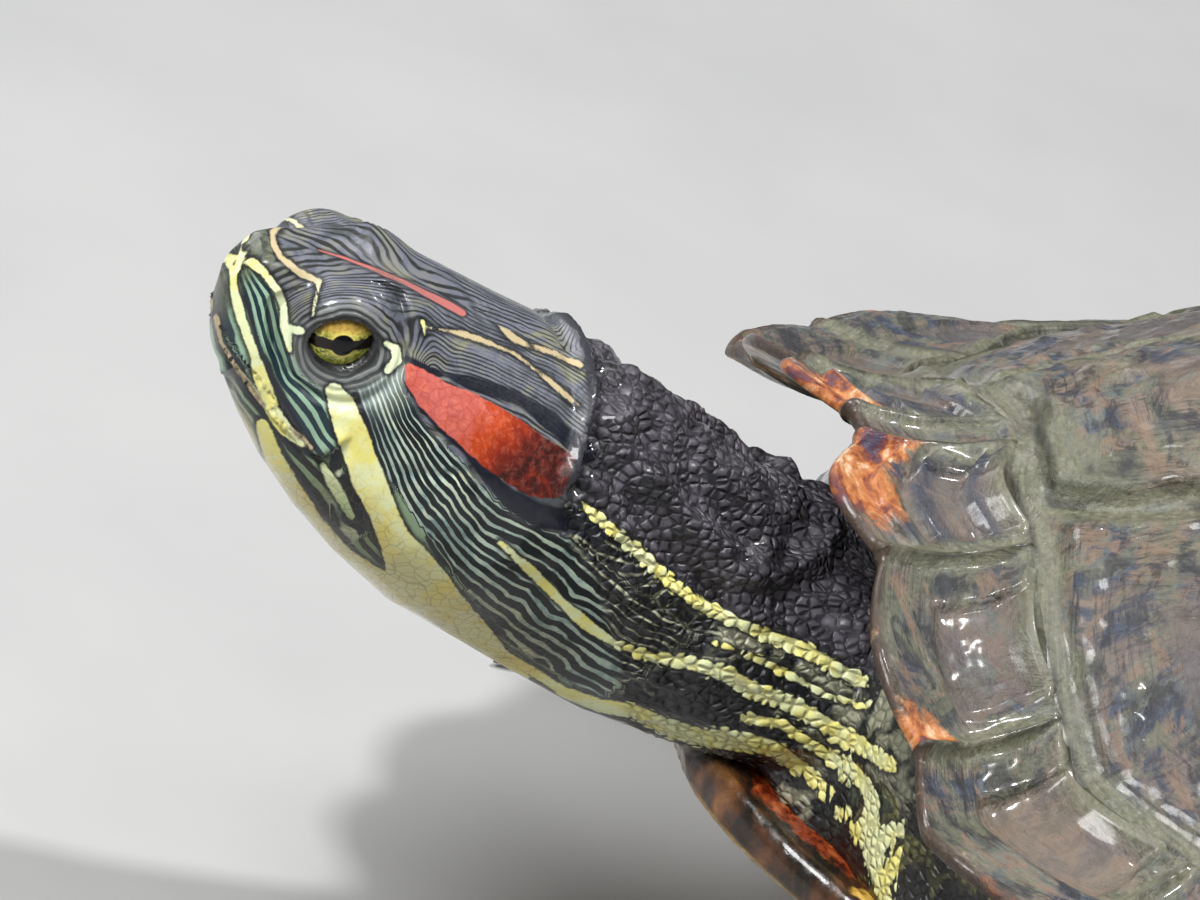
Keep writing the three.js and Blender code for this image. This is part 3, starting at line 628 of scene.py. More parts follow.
carapace_plates = add_piece("carapace_plates", dome_mesh, ["carapace"], wet_horn)
carapace_marginals = add_piece("carapace_marginals", marginal_mesh, ["carapace"], wet_horn)


# Plastron --------------------------------------------------------------------------------------
# The flat lower shell: two lobes of bone joined to the rim by a bridge on each side, under six
# pairs of yellow plates with dark smudges. Its lip in front of the neck is polished brown horn.

PLASTRON_THICKNESS = 5.5
BRIDGE_FRONT, BRIDGE_REAR, BRIDGE_RAMP, BRIDGE_ROOT = -52, 46, 8, 48
BRIDGE_TOP, BRIDGE_INSET = 25.6, 1.5
PLASTRON_FRONT, PLASTRON_REAR = -117.5, 110
PLASTRON_SEAMS = [[(0, -117), (0, 110)], [(0, -88), (14, -95), (34, -104)], [(0, -58), (24, -62), (48, -56)],
                  [(0, -22), (40, -26), (92, -20)], [(0, 26), (40, 30), (92, 38)], [(0, 68), (24, 80), (48, 86)]]
PLASTRON_ROUNDING = 2.7


def plastron_half_width(y):
    front = 47 * np.sqrt(np.maximum(0.02, 1 - np.maximum(0, (-46 - y) / 71.5) ** 2.6))
    rear = 46 * np.sqrt(np.maximum(0.02, 1 - np.maximum(0, (y - 40) / 75) ** 2.8))
    bridge = np.minimum(smooth(BRIDGE_FRONT - BRIDGE_RAMP, BRIDGE_FRONT + BRIDGE_RAMP, y),
                        1 - smooth(BRIDGE_REAR - BRIDGE_RAMP, BRIDGE_REAR + BRIDGE_RAMP, y))
    return blend(np.where(y < 0, front, rear), rim_beside(y) - BRIDGE_INSET, bridge)


def rim_beside(y):
    return np.interp(y, rim_line[:, 1], rim_line[:, 0])


def bridge_rise(x, y):
    root_edge = rim_beside(np.clip(y, BRIDGE_FRONT, BRIDGE_REAR)) - BRIDGE_INSET
    return (BRIDGE_TOP - PLASTRON_THICKNESS + 1) * smooth(BRIDGE_ROOT, root_edge, np.abs(x))


form = bmesh.new()
bmesh.ops.create_grid(form, x_segments=150, y_segments=250, size=1)
inner = bmesh.ops.duplicate(form, geom=form.verts[:] + form.edges[:] + form.faces[:])["geom"]
bmesh.ops.translate(form, verts=[v for v in inner if isinstance(v, bmesh.types.BMVert)], vec=(0, 0, 1))
bmesh.ops.reverse_faces(form, faces=[f for f in form.faces if f.calc_center_median().z < 0.5])
for corner in form.verts:
    if abs(corner.co.x) > 0.999 or abs(corner.co.y) > 0.999:
        corner.co.z = 0.5
bmesh.ops.remove_doubles(form, verts=form.verts, dist=1e-5)
plastron_mesh = mesh_from(form, "plastron_plates")

sheet = coordinates(plastron_mesh)
y = blend(PLASTRON_FRONT, PLASTRON_REAR, (sheet[:, 1] + 1) / 2)
half_width = plastron_half_width(y)
x = sheet[:, 0] * half_width
upper = sheet[:, 2] > 0.4
to_side = half_width - np.abs(x)
to_end = np.minimum(y - PLASTRON_FRONT, PLASTRON_REAR - y)
to_outline = np.minimum(to_side, to_end)
curl = np.clip(1 - to_outline / PLASTRON_ROUNDING, 0, 1)
rounding = PLASTRON_ROUNDING * (1 - np.sqrt(np.maximum(0, 1 - curl**2)))
crown = 0.7 * (1 - sheet[:, 0] ** 2) * np.cos(y / 90)
middle = PLASTRON_THICKNESS / 2
z = np.where(upper, PLASTRON_THICKNESS + crown - rounding, rounding)
z = np.where(np.abs(sheet[:, 2] - 0.5) < 0.01, middle, z)
plan = np.stack([np.abs(x), y], -1)
seam_distance = np.full(len(plan), 1e9)
for line in PLASTRON_SEAMS:
    seam_distance = np.minimum(seam_distance, to_line(plan, line)[0])
points = np.stack([x, y, z + bridge_rise(x, y)], -1)
weather = rough(points, 11, 3, 9.0)
ridge_phase = seam_distance / 2.6 + 0.25 * weather
groove = 0.6 * np.exp(-((seam_distance / 0.55) ** 2))
ridges = 0.05 * np.sin(math.tau * ridge_phase)
move_to(plastron_mesh, points)
shaped = points + normals_of(plastron_mesh) * ((ridges + 0.12 * weather) * (to_outline > 0.5) - groove)[:, None]
final = placed(shaped)
final[:, 2] = np.maximum(final[:, 2], 0)
move_to(plastron_mesh, final)
keep(plastron_mesh, "seam_distance", seam_distance)
keep(plastron_mesh, "ridge_phase", ridge_phase)
at_front = smooth(-78, -92, y) * smooth(0.02, 0.2, z / PLASTRON_THICKNESS)
keep(plastron_mesh, "lip", at_front * smooth(34, 26, to_outline))
keep(plastron_mesh, "inward", to_outline)
keep(plastron_mesh, "amber", smooth(26, 31, np.abs(x)) * smooth(-105, -101, y) * smooth(1, 2.5, to_outline))

plate_middles = np.array([(0, -104), (22, -76), (26, -40), (30, 2), (24, 52), (22, 92), (74, -36), (70, -8),
                          (76, 14), (70, 36)], float)
smudge = np.linalg.norm((plan[:, None] - plate_middles[None]) / [15, 11], axis=2).min(axis=1)
keep(plastron_mesh, "smudge", smudge)

polished_horn, tree, surface = finish("polished_horn", roughness=0.28, coat=0.8, coat_roughness=0.04)
where = place_of(tree)
clouds = noise_at(tree, where, 0.07, 5, 1.2)
fine = noise_at(tree, where, 0.9, 5, 0.4)
seam = number_at(tree, "seam_distance")
rings = sum_of(tree, "SINE", sum_of(tree, "MULTIPLY", number_at(tree, "ridge_phase"), math.tau))
colour = shades(tree, clouds, (0.35, (0.50, 0.27, 0.05)), (0.5, (0.60, 0.38, 0.09)), (0.65, (0.66, 0.46, 0.16)))
stained = sum_of(tree, "ADD", noise_at(tree, where, 0.05, 7, 1.5, 0.7), sum_of(tree, "MULTIPLY", fine, 0.15))
colour = mixed(tree, between(tree, stained, 0.52, 0.70, 0, 0.6), colour, (0.14, 0.085, 0.035))
smudged = sum_of(tree, "ADD", number_at(tree, "smudge"), sum_of(tree, "MULTIPLY", noise_at(tree, where, 0.13, 6, 1.0), 1.6))
colour = mixed(tree, between(tree, smudged, 1.35, 1.6, 0.92, 0), colour, (0.022, 0.016, 0.012))
colour = mixed(tree, between(tree, rings, 0.5, 1.0, 0, 0.15), colour, (0.3, 0.15, 0.04))
lip_colour = shades(tree, noise_at(tree, where, 0.14, 5, 1.5), (0.4, (0.014, 0.010, 0.007)),
                    (0.52, (0.05, 0.022, 0.010)), (0.6, (0.10, 0.04, 0.014)), (0.72, (0.20, 0.09, 0.03)))
rusty = sum_of(tree, "ADD", number_at(tree, "inward"), sum_of(tree, "MULTIPLY", noise_at(tree, where, 0.3, 5, 1.0), 9.0))
amber = sum_of(tree, "ADD", number_at(tree, "amber"), sum_of(tree, "MULTIPLY", noise_at(tree, where, 0.4, 4, 0.6), 0.5))
lip_colour = mixed(tree, between(tree, rusty, 9.5, 12.0, 0, 0.9), lip_colour, shades(
    tree, fine, (0.35, (0.10, 0.012, 0.004)), (0.55, (0.34, 0.055, 0.012)), (0.7, (0.5, 0.15, 0.04))))
lip_colour = mixed(tree, between(tree, amber, 0.75, 1.0, 0, 0.95), lip_colour, shades(
    tree, fine, (0.35, (0.30, 0.13, 0.02)), (0.5, (0.62, 0.36, 0.06)), (0.68, (0.74, 0.52, 0.14))))
colour = mixed(tree, number_at(tree, "lip"), colour, lip_colour)
colour = mixed(tree, between(tree, seam, 0.1, 0.8, 0.85, 0), colour, (0.06, 0.03, 0.012))
give(tree, surface.inputs["Base Color"], colour)
give(tree, surface.inputs["Roughness"], between(tree, fine, 0.3, 0.7, 0.2, 0.42))
relief(tree, surface, sum_of(tree, "ADD", fine, sum_of(tree, "MULTIPLY", rings, 0.25)), 0.25, 0.6)
plastron_plates = add_piece("plastron_plates", plastron_mesh, ["plastron"], polished_horn)


# Skin: one hide over the flesh ------------------------------------------------------------------
# A single soft hide covers head, neck, legs and tail and runs into the pockets of the shell. It
# is smooth and taut on the head and granular, folded and scaly behind it.

HEAD_STATIONS = np.array([
    # behind the nostrils, top, bottom, half width, squareness
    [-0.6, 1.2, -1.8, 1.6, 2], [0.6, 3.6, -3.4, 3.4, 2.2], [3, 5.2, -7.4, 5.6, 2.3], [5.6, 6.6, -10.2, 7.4, 2.4],
    [9, 8.4, -12.4, 9.2, 2.4], [13, 10.2, -14.8, 11.2, 2.4], [18, 11.2, -17.4, 13.4, 2.3], [25, 11.6, -20, 15.6, 2.3],
    [33, 12.2, -22.2, 17.2, 2.2], [42, 13.2, -23.8, 17.8, 2.2], [50, 13.8, -24, 17, 2.1], [60, 13, -24, 17, 2],
    [72, 12.6, -23.4, 17.4, 2], [81, 11.8, -21, 18.6, 2], [91, 11, -18, 20, 2], [106, 9, -16.6, 21, 2],
    [128, 7, -15, 21, 2],
])
NECK_BEND = (76, 104)
EYE_RADIUS, LID_RADIUS = 5.2, 6.0
HIDE_GRAIN = 1.45  # edge of the first, even mesh


def head_line():
    """Places each millimetre back along the head and neck, with their three axes."""
    place, rows = NOSTRILS.copy(), []
    for s in range(-8, 131):
        axes = head_axes(float(smooth(*NECK_BEND, s)))
        rows.append([NOSTRILS + axes[0] * s if s <= 0 else place.copy(), *axes])
        if s >= 0:
            place = place + axes[0]
    return np.array(rows)


LINE = head_line()
LINE_START = -8


def head_place(points):
    """How far behind, above and beside the nostrils' line each point of the shell's frame lies."""
    places, backs = LINE[:, 0], LINE[:, 1]
    ahead = points @ backs.T - (places * backs).sum(axis=1)
    row = np.abs(ahead).argmin(axis=1)
    off = points - places[row]
    return np.stack([row + LINE_START + ahead[np.arange(len(points)), row],
                     (off * LINE[row, 2]).sum(axis=1), (off * LINE[row, 3]).sum(axis=1)], -1)


def from_head(local):
    """The shell-frame point behind, above and beside the nostrils' line."""
    row = np.clip(local[:, 0] - LINE_START, 0, len(LINE) - 1.001)
    low, part = row.astype(int), (row % 1)[:, None]
    axes = LINE[low] + (LINE[low + 1] - LINE[low]) * part[:, :, None]
    spare = (local[:, 0] - LINE_START - row)[:, None]
    return axes[:, 0] + axes[:, 1] * spare + axes[:, 2] * local[:, 1:2] + axes[:, 3] * local[:, 2:3]


def beside_head(local):
    """True about the head and neck, false at a foot that reaches as far forward."""
    return np.hypot(local[:, 1] + 6, local[:, 2]) < 34


def untilted(metres):
    """Points of the scene in metres, back in the shell's level frame in millimetres."""
    flat = metres * 1000 - centring
    y, z = flat[:, 1] - PIVOT_Y, flat[:, 2] + SINK
    c, s = math.cos(SHELL_PITCH), math.sin(SHELL_PITCH)
    return np.stack([flat[:, 0], y * c - z * s + PIVOT_Y, y * s + z * c], -1)


def pixels(metres):
    """Where points of the scene in metres show in the picture."""
    off = metres - np.array(VIEW_TARGET)
    scale = VIEW_SCALE * VIEW_DISTANCE / (VIEW_DISTANCE - off @ np.array(VIEW_FROM))
    return np.stack([PICTURE[0] / 2 + off @ np.array(view_right) * scale,
                     PICTURE[1] / 2 - off @ np.array(view_up) * scale], -1)


SKIN_NODES = [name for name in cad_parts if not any(
    word in name for word in ("claw", "eye", "carapace", "plastron"))]
form = bmesh.new()
for name in [*SKIN_NODES, "eye_left", "eye_right"]:
    form.from_mesh(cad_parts[name].data)
bmesh.ops.remove_doubles(form, verts=form.verts, dist=1e-6)
rough_body = bpy.data.objects.new("rough_body", mesh_from(form, "rough_body"))
bpy.context.scene.collection.objects.link(rough_body)
remesh = rough_body.modifiers.new("even", "REMESH")
remesh.mode = "VOXEL"
remesh.voxel_size = HIDE_GRAIN * 0.001
evened = bpy.data.meshes.new_from_object(rough_body.evaluated_get(bpy.context.evaluated_depsgraph_get()))
bpy.data.objects.remove(rough_body)

form = bmesh.new()
form.from_mesh(evened)
bpy.data.meshes.remove(evened)


def keep_largest(form):
    """Removes every loose island but the largest."""
    left, islands = set(form.verts), []
    while left:
        front = [left.pop()]
        island = list(front)
        while front:
            reached = [e.other_vert(v) for v in front for e in v.link_edges]
            front = [v for v in set(reached) if v in left]
            left.difference_update(front)
            island.extend(front)
        islands.append(island)
    islands.sort(key=len)
    bmesh.ops.delete(form, geom=[v for island in islands[:-1] for v in island], context="VERTS")


keep_largest(form)


def in_shell(form):
    return untilted(np.array([v.co for v in form.verts]))


# The trunk's middle is out of sight, so its top and floor are closed by one plain face each.
spots = in_shell(form)
hidden = (spots[:, 0] / 56) ** 2 + ((spots[:, 1] + 2) / 66) ** 2 < 1
bmesh.ops.delete(form, geom=[v for v, gone in zip(form.verts, hidden) if gone], context="VERTS")
bmesh.ops.holes_fill(form, edges=[e for e in form.edges if e.is_boundary], sides=0)
bmesh.ops.triangulate(form, faces=[f for f in form.faces if len(f.verts) > 4])
for _ in range(7):
    bmesh.ops.smooth_vert(form, verts=form.verts, factor=0.5, use_axis_x=True, use_axis_y=True, use_axis_z=True)

for behind in (92, 34):
    spots = head_place(in_shell(form))
    for vert, ahead in zip(form.verts, (spots[:, 0] < behind) & beside_head(spots)):
        vert.tag = bool(ahead)
    finer = [e for e in form.edges if e.verts[0].tag and e.verts[1].tag]
    bmesh.ops.subdivide_edges(form, edges=finer, cuts=1, use_grid_fill=True)
bmesh.ops.triangulate(form, faces=[f for f in form.faces if len(f.verts) > 4])
skin_mesh = mesh_from(form, "skin")


def cells_on(mesh, scale, stretch, disorder):
    """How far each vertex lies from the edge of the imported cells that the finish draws."""
    tree = bpy.data.node_groups.new("cells", "GeometryNodeTree")
    for way in ("INPUT", "OUTPUT"):
        tree.interface.new_socket("Geometry", in_out=way, socket_type="NodeSocketGeometry")
    start, end = tree.nodes.new("NodeGroupInput"), tree.nodes.new("NodeGroupOutput")
    store = tree.nodes.new("GeometryNodeStoreNamedAttribute")
    store.inputs["Name"].default_value = "cell"
    cells = tree.nodes.new("ShaderNodeTexVoronoi")
    cells.feature = "DISTANCE_TO_EDGE"
    cells.inputs["Scale"].default_value = scale
    cells.inputs["Randomness"].default_value = disorder
    stretched = tree.nodes.new("ShaderNodeVectorMath")
    stretched.operation = "MULTIPLY"
    stretched.inputs[1].default_value = stretch
    tree.links.new(tree.nodes.new("GeometryNodeInputPosition").outputs[0], stretched.inputs[0])
    tree.links.new(stretched.outputs[0], cells.inputs["Vector"])
    tree.links.new(start.outputs[0], store.inputs["Geometry"])
    tree.links.new(cells.outputs["Distance"], store.inputs["Value"])
    tree.links.new(store.outputs[0], end.inputs[0])
    carrier = bpy.data.objects.new("cells", mesh)
    bpy.context.scene.collection.objects.link(carrier)
    carrier.modifiers.new("cells", "NODES").node_group = tree
    found = carrier.evaluated_get(bpy.context.evaluated_depsgraph_get()).data.attributes["cell"]
    values = np.empty(len(mesh.vertices), dtype=np.float32)
    found.data.foreach_get("value", values)
    bpy.data.objects.remove(carrier)
    bpy.data.node_groups.remove(tree)
    return values.astype(float)

# The head's own form, worked out on its left half and mirrored.
points = untilted(coordinates(skin_mesh))
local = head_place(points)
s, h, l = local.T
side = np.where(l < 0, -1.0, 1.0)
l = np.abs(l)
on_neck = 1 - smooth(86, 98, s)
top, bottom, half_width, squareness = (np.interp(s, HEAD_STATIONS[:, 0], HEAD_STATIONS[:, k]) for k in range(1, 5))
middle, reach = (top + bottom) / 2, (top - bottom) / 2
round_head = ((l / half_width) ** squareness + (np.abs(h - middle) / reach) ** squareness) ** (1 / squareness)
wanted = np.where((round_head > 0.5) & (s > -0.4), 1 / np.maximum(round_head, 0.3), 1.0)
wanted = blend(1.0, wanted, on_neck * beside_head(local) * smooth(1.6, 1.3, round_head))
h, l = middle + (h - middle) * wanted, l * wanted
move_to(skin_mesh, placed(from_head(np.stack([s, h, l * side], -1))))

# The picture's left side of the head and neck serves both sides: a point of the right side is
# looked up where its mirror image on the left shows.
points = untilted(coordinates(skin_mesh))
local = head_place(points)
s, h, l = local.T
side = np.where(l < 0, -1.0, 1.0)
mirrored = np.stack([s, h, np.abs(l)], -1)
seen = pixels(placed(from_head(mirrored)))
seen_unmirrored = pixels(placed(from_head(local)))
about_head = beside_head(local)
on_head = (1 - smooth(50, 56, s)) * about_head
on_neck = (1 - smooth(88, 104, s)) * about_head
around_neck = np.arctan2(mirrored[:, 2], h - np.interp(s, HEAD_STATIONS[:, 0], HEAD_STATIONS[:, 1:3].mean(axis=1)))


def stroke_distance(spots, strokes):
    """Millimetres outside the nearest painted stroke, its number and the place along it; strokes are x, y, width."""
    nearest = np.full(len(spots), 99.0)
    number, along = np.zeros(len(spots), int), np.zeros(len(spots))
    for k, stroke in enumerate(strokes):
        stroke = np.asarray(stroke, float)
        lengths = np.linalg.norm(np.diff(stroke[:, :2], axis=0), axis=1)
        reached = np.concatenate([[0], np.cumsum(lengths)])
        for (x, y, wide), (x2, y2, wide2), length, before in zip(stroke, stroke[1:], lengths, reached):
            way = np.array([x2 - x, y2 - y])
            share = np.clip((spots - [x, y]) @ way / length**2, 0, 1)
            off = np.linalg.norm(spots - [x, y] - share[:, None] * way, axis=1)
            gap = (off - blend(wide, wide2, share) / 2) / PIXELS_PER_MM
            closer = gap < nearest
            nearest[closer], number[closer] = gap[closer], k
            along[closer] = ((before + share * length) / reached[-1])[closer]
    return nearest, number, along


PIXELS_PER_MM = VIEW_SCALE / 1000
MOUTH = [(214, 318), (221, 344), (234, 367), (252, 391), (270, 414), (290, 435), (312, 451), (323, 455)]
NAPE_FOLD = [(577, 330), (582, 350), (586, 372), (589, 400), (588, 428), (579, 455), (568, 482), (560, 508)]
JAW_CREASE = [(330, 452), (352, 448), (400, 470), (430, 474), (457, 474), (478, 488)]


def lump(centre, radius):
    return np.exp(-(((mirrored - np.array(centre)) / radius) ** 2).sum(axis=1))


def ridge(line, width):
    return np.exp(-((to_line(mirrored, line)[0] / width) ** 2))


def below_line(line):
    """Positive under a line that runs across the picture's head, in millimetres."""
    line = np.asarray(line, float)
    way = np.array([0.55, 0.83])  # towards the chin
    over = np.array([way[1], -way[0]])
    order = np.argsort(line @ over)
    return (seen @ way - np.interp(seen @ over, (line @ over)[order], (line @ way)[order])) / PIXELS_PER_MM


swell = 1.7 * lump((13.2, 9.3, 7.0), (5.0, 4.0, 3.6))
swell -= 1.5 * lump((12, 11, 0), (9, 5, 3.4))
swell -= 0.9 * lump((24, 12, 0), (9, 5, 5))
swell += 0.55 * ridge([(1.5, 3.0, 2.6), (5, 6.2, 4.4), (8, 8, 5.6)], 1.1)
swell -= 0.6 * lump((5.5, 1.0, 6.5), (3.2, 3.0, 3.0))
swell += 1.0 * lump((33, -9, 17), (12, 8, 8))
swell -= 0.5 * lump((39, -4, 17), (3.6, 3.6, 6))
swell -= 1.1 * lump((0.3, 0.6, 1.7), (0.8, 0.6, 0.6))
swell += 2.4 * lump((91, 9.5, 9), (8, 7, 9))
beneath = below_line(MOUTH)
at_mouth = smooth(25, 20.5, s) * about_head * smooth(4.5, 2.2, to_line(seen, MOUTH)[0] / PIXELS_PER_MM)
lip_line = smooth(-2.4, -0.3, beneath) * smooth(0.25, -0.15, beneath) * 0.4
lip_line -= smooth(-0.15, 0.4, beneath) * smooth(3.6, 0.6, beneath) * 0.55
swell += at_mouth * lip_line * smooth(0.6, 3.2, mirrored[:, 2])
crease_gap = to_line(seen, JAW_CREASE)[0] / PIXELS_PER_MM
swell -= 0.3 * np.exp(-((crease_gap / 0.5) ** 2)) * on_head * smooth(385, 410, seen[:, 0])

fold_gap, along_fold = to_line(seen, NAPE_FOLD)
fold_gap = fold_gap / PIXELS_PER_MM
fold_line = np.asarray(NAPE_FOLD, float)
behind_fold = (seen[:, 0] - np.interp(seen[:, 1], fold_line[:, 1], fold_line[:, 0])) / PIXELS_PER_MM
fold_reach = smooth(64, 58, s) * smooth(-26, -14, h) * smooth(1.0, 0.8, along_fold)
swell += fold_reach * 1.6 * np.exp(-((fold_gap / 0.72) ** 2))
swell -= fold_reach * 1.1 * np.exp(-(((behind_fold - 1.9) / 0.9) ** 2)) * (behind_fold > 0)
swell -= fold_reach * 0.4 * np.exp(-(((behind_fold + 1.7) / 0.6) ** 2)) * (behind_fold < 0)

# Folds along the neck, deepest on its back, and granules behind the fold.
along_neck = np.stack([s / 15, around_neck * 4.6, np.where(side > 0, 0.0, 9.0)], -1)
folds = np.array([noise.ridged_multi_fractal(Vector(p), 1.0, 2.0, 3, 0.9, 2.0) for p in along_neck]) - 1.1
grainy_from = np.array([(577, 330), (589, 400), (568, 482), (560, 510), (570, 545), (592, 580), (612, 640), (625, 745)])
past_smooth = (seen[:, 0] - np.interp(seen[:, 1], grainy_from[:, 1], grainy_from[:, 0])) / PIXELS_PER_MM
neck_part = smooth(-0.5, 1.4, past_smooth) * smooth(40, 44, s) * on_neck
upper_neck = smooth(2.1, 0.7, around_neck)
swell += neck_part * folds * (0.45 + 0.5 * upper_neck)
NAPE_RIDGES = [[(600, 384), (638, 454), (694, 533), (740, 575), (783, 575), (820, 552), (834, 524)],
               [(633, 384), (694, 449), (745, 505), (773, 543), (764, 566)],
               [(680, 407), (736, 459), (783, 496), (820, 519)],
               [(600, 361), (643, 379), (694, 426), (750, 473), (820, 491)],
               [(612, 420), (650, 480), (690, 520), (735, 548)]]
ridge_gap = np.min([to_line(seen, line)[0] for line in NAPE_RIDGES], axis=0) / PIXELS_PER_MM
swell += neck_part * (2.0 * np.exp(-((ridge_gap / 1.5) ** 2)) - 0.8) * upper_neck * smooth(9, 4, ridge_gap)
swell += neck_part * 1.0 * rough(points * [1, 1, 1], 8, 3, 4.0) * upper_neck

inside_shell = (points[:, 0] / 84) ** 2 + ((points[:, 1] - 2) / 112) ** 2 < 1
limb_part = smooth(96, 106, s) * ~inside_shell
granules = np.maximum(neck_part, limb_part)
GRANULES = (0.8, (1000, 800, 1000), 0.8)  # how many to the millimetre, their stretch and disorder
lumps = np.clip(cells_on(skin_mesh, *GRANULES) / 0.4, 0, 1)
swell += granules * (0.32 * np.sqrt(lumps) - 0.16)

placed_skin = coordinates(skin_mesh)
placed_skin += normals_of(skin_mesh) * (swell * 0.001)[:, None]
move_to(skin_mesh, placed_skin)

# The skin of the chest hangs down onto the lip of the plastron.
points = untilted(coordinates(skin_mesh))
x, y, z = points.T
lip_y = np.interp(np.abs(x), [0, 12, 16, 23, 30, 40], [-109, -108, -104, -101, -100, -96])
hung = smooth(18, 10, z) * smooth(-4, 2, y - lip_y) * smooth(-60, -72, y) * smooth(44, 36, np.abs(x))
z = blend(z, 4.6, hung)
x = x + np.sign(x) * 5 * hung * smooth(8, 14, np.abs(x))
move_to(skin_mesh, placed(np.stack([x, y, z], -1)))

# Lids: the hide swells over each eyeball and opens in a slanting almond.
LID_SLANT = math.radians(34)
OPENING = (3.6, 2.95)  # half its length and half its height
along_lid = np.array([math.cos(LID_SLANT), math.sin(LID_SLANT), 0])
local = head_place(untilted(coordinates(skin_mesh)))
mirrored = local * [1, 1, 0] + np.abs(local) * [0, 0, 1]
gaze = np.array([-0.14, 0.05, 1])
gaze /= np.linalg.norm(gaze)
along_lid = along_lid - gaze * (along_lid @ gaze)
along_lid /= np.linalg.norm(along_lid)
over_lid = np.cross(gaze, along_lid)
from_eye = mirrored - np.array(EYE_PLACE)
out = from_eye @ gaze
u, v = from_eye @ along_lid, from_eye @ over_lid
radius = np.linalg.norm(from_eye, axis=1)
near_eye = (radius < 11) & (out > 0.5)
flat_radius = np.hypot(u, v)
lid_radius = LID_RADIUS + 0.25 * np.exp(-(((flat_radius - 5.0) / 0.8) ** 2)) - 0.3 * smooth(-1.5, -5, v)
lifted = np.maximum(radius, lid_radius)
soft = np.logaddexp(radius * 3, lid_radius * 3) / 3
lifted = np.where(near_eye, blend(radius, soft, 1 - smooth(5.5, 8.5, flat_radius)), radius)
lifted -= near_eye * 0.45 * np.exp(-(((flat_radius - 7.4) / 0.7) ** 2))
lifted -= near_eye * 0.16 * np.exp(-(((flat_radius - 5.9) / 0.35) ** 2))
opening = (np.abs(u) / OPENING[0]) ** 2.0 + (np.abs(v) / OPENING[1]) ** 1.75
snap = near_eye & (np.abs(opening - 1) < 0.09)
stretch = np.where(snap, opening ** -0.52, 1.0)
margin = np.where(opening < 0.95, EYE_RADIUS - 0.9, EYE_RADIUS + 0.12)
lifted = np.where(near_eye & (opening < 1.09), margin, lifted)
flat = from_eye - gaze * out[:, None]
flat = flat * stretch[:, None]
depth_out = np.sqrt(np.maximum(0.01, lifted**2 - (flat**2).sum(axis=1)))
opened = np.array(EYE_PLACE) + flat + gaze * depth_out[:, None]
mirrored = np.where(near_eye[:, None], opened, mirrored)
local = mirrored * np.stack([np.ones(len(side)), np.ones(len(side)), side], -1)
final = placed(from_head(local))
opening = np.where(near_eye, opening, 9)
untouched = ~near_eye
final[untouched] = coordinates(skin_mesh)[untouched]
final[:, 2] = np.maximum(final[:, 2], 0)
move_to(skin_mesh, final)

# Painted lines: x, y and width in the picture. Each runs from the snout backwards.
YELLOW, MINT, TAN = 0.0, 0.5, 1.0
PALE_LINES = [
    (TAN, [(268, 234, 4), (280, 256, 4), (298, 272, 5), (319, 282, 5), (316, 297, 4), (313, 315, 3)]),
    (YELLOW, [(252, 263, 9), (264, 273, 8), (277, 290, 7), (284, 308, 8), (284, 325, 9), (288, 338, 8), (290, 350, 4)]),
    (YELLOW, [(286, 328, 8), (300, 331, 8)]),
    (YELLOW, [(233, 268, 4), (235, 293, 7), (242, 320, 9), (253, 350, 11), (262, 382, 13), (272, 410, 12),
              (287, 431, 8), (302, 444, 3)]),
    (YELLOW, [(246, 245, 6), (241, 258, 7), (237, 268, 6)]),
    (YELLOW, [(386, 343, 3), (396, 349, 7), (397, 360, 7), (388, 370, 4)]),
    (YELLOW, [(423, 322, 4), (425, 334, 4)]),
    (YELLOW, [(334, 391, 14), (341, 405, 24), (350, 430, 29), (359, 458, 32), (371, 485, 32), (384, 512, 28),
              (394, 538, 32), (407, 563, 46), (425, 594, 58), (447, 625, 60), (476, 655, 52), (510, 680, 36)]),
    (YELLOW, [(262, 425, 8), (270, 450, 17), (284, 478, 20), (300, 503, 18), (318, 527, 16), (345, 557, 20),
              (375, 584, 34), (410, 612, 40), (450, 642, 40), (480, 660, 26)]),
    (MINT, [(323, 465, 5), (332, 482, 8), (343, 500, 8), (351, 516, 5)]),
    (TAN, [(484, 312, 3), (499, 322, 4), (511, 336, 5), (530, 346, 5), (553, 352, 5), (580, 365, 4)]),
    (TAN, [(424, 327, 3), (450, 331, 3), (480, 339, 3), (513, 353, 3), (548, 380, 3), (580, 408, 2)]),
    (TAN, [(216, 318, 3), (221, 342, 3), (234, 364, 4), (252, 388, 5), (270, 411, 5), (290, 431, 5), (312, 448, 3)]),
    (YELLOW, [(585, 507, 7), (597, 517, 9), (620, 537, 11), (650, 562, 12), (675, 587, 12), (710, 610, 13),
              (740, 624, 13), (770, 637, 14), (800, 648, 15), (827, 663, 15), (860, 682, 15)]),
    (YELLOW, [(500, 543, 5), (530, 570, 7), (560, 600, 9), (590, 628, 10), (620, 646, 10), (655, 659, 11),
              (690, 663, 13), (722, 672, 15), (752, 690, 17), (787, 702, 17), (822, 722, 17), (855, 742, 18),
              (890, 765, 18)]),
    (YELLOW, [(715, 643, 5), (760, 660, 7), (800, 680, 8), (828, 696, 8), (868, 706, 9)]),
    (YELLOW, [(490, 645, 8), (530, 670, 9), (565, 692, 10), (600, 706, 11), (635, 711, 13), (665, 727, 18),
              (700, 737, 20), (735, 741, 20), (770, 747, 17), (797, 765, 17), (822, 787, 17), (842, 811, 15),
              (862, 837, 14), (877, 872, 13), (887, 905, 12)]),
    (YELLOW, [(745, 719, 9), (780, 723, 12), (812, 745, 12), (842, 761, 14), (862, 777, 14), (872, 800, 14),
              (870, 825, 14), (893, 858, 14), (915, 892, 14)]),
    (YELLOW, [(893, 826, 12), (915, 832, 26), (935, 833, 14)]),
    (YELLOW, [(925, 860, 12), (945, 890, 12)]),
]
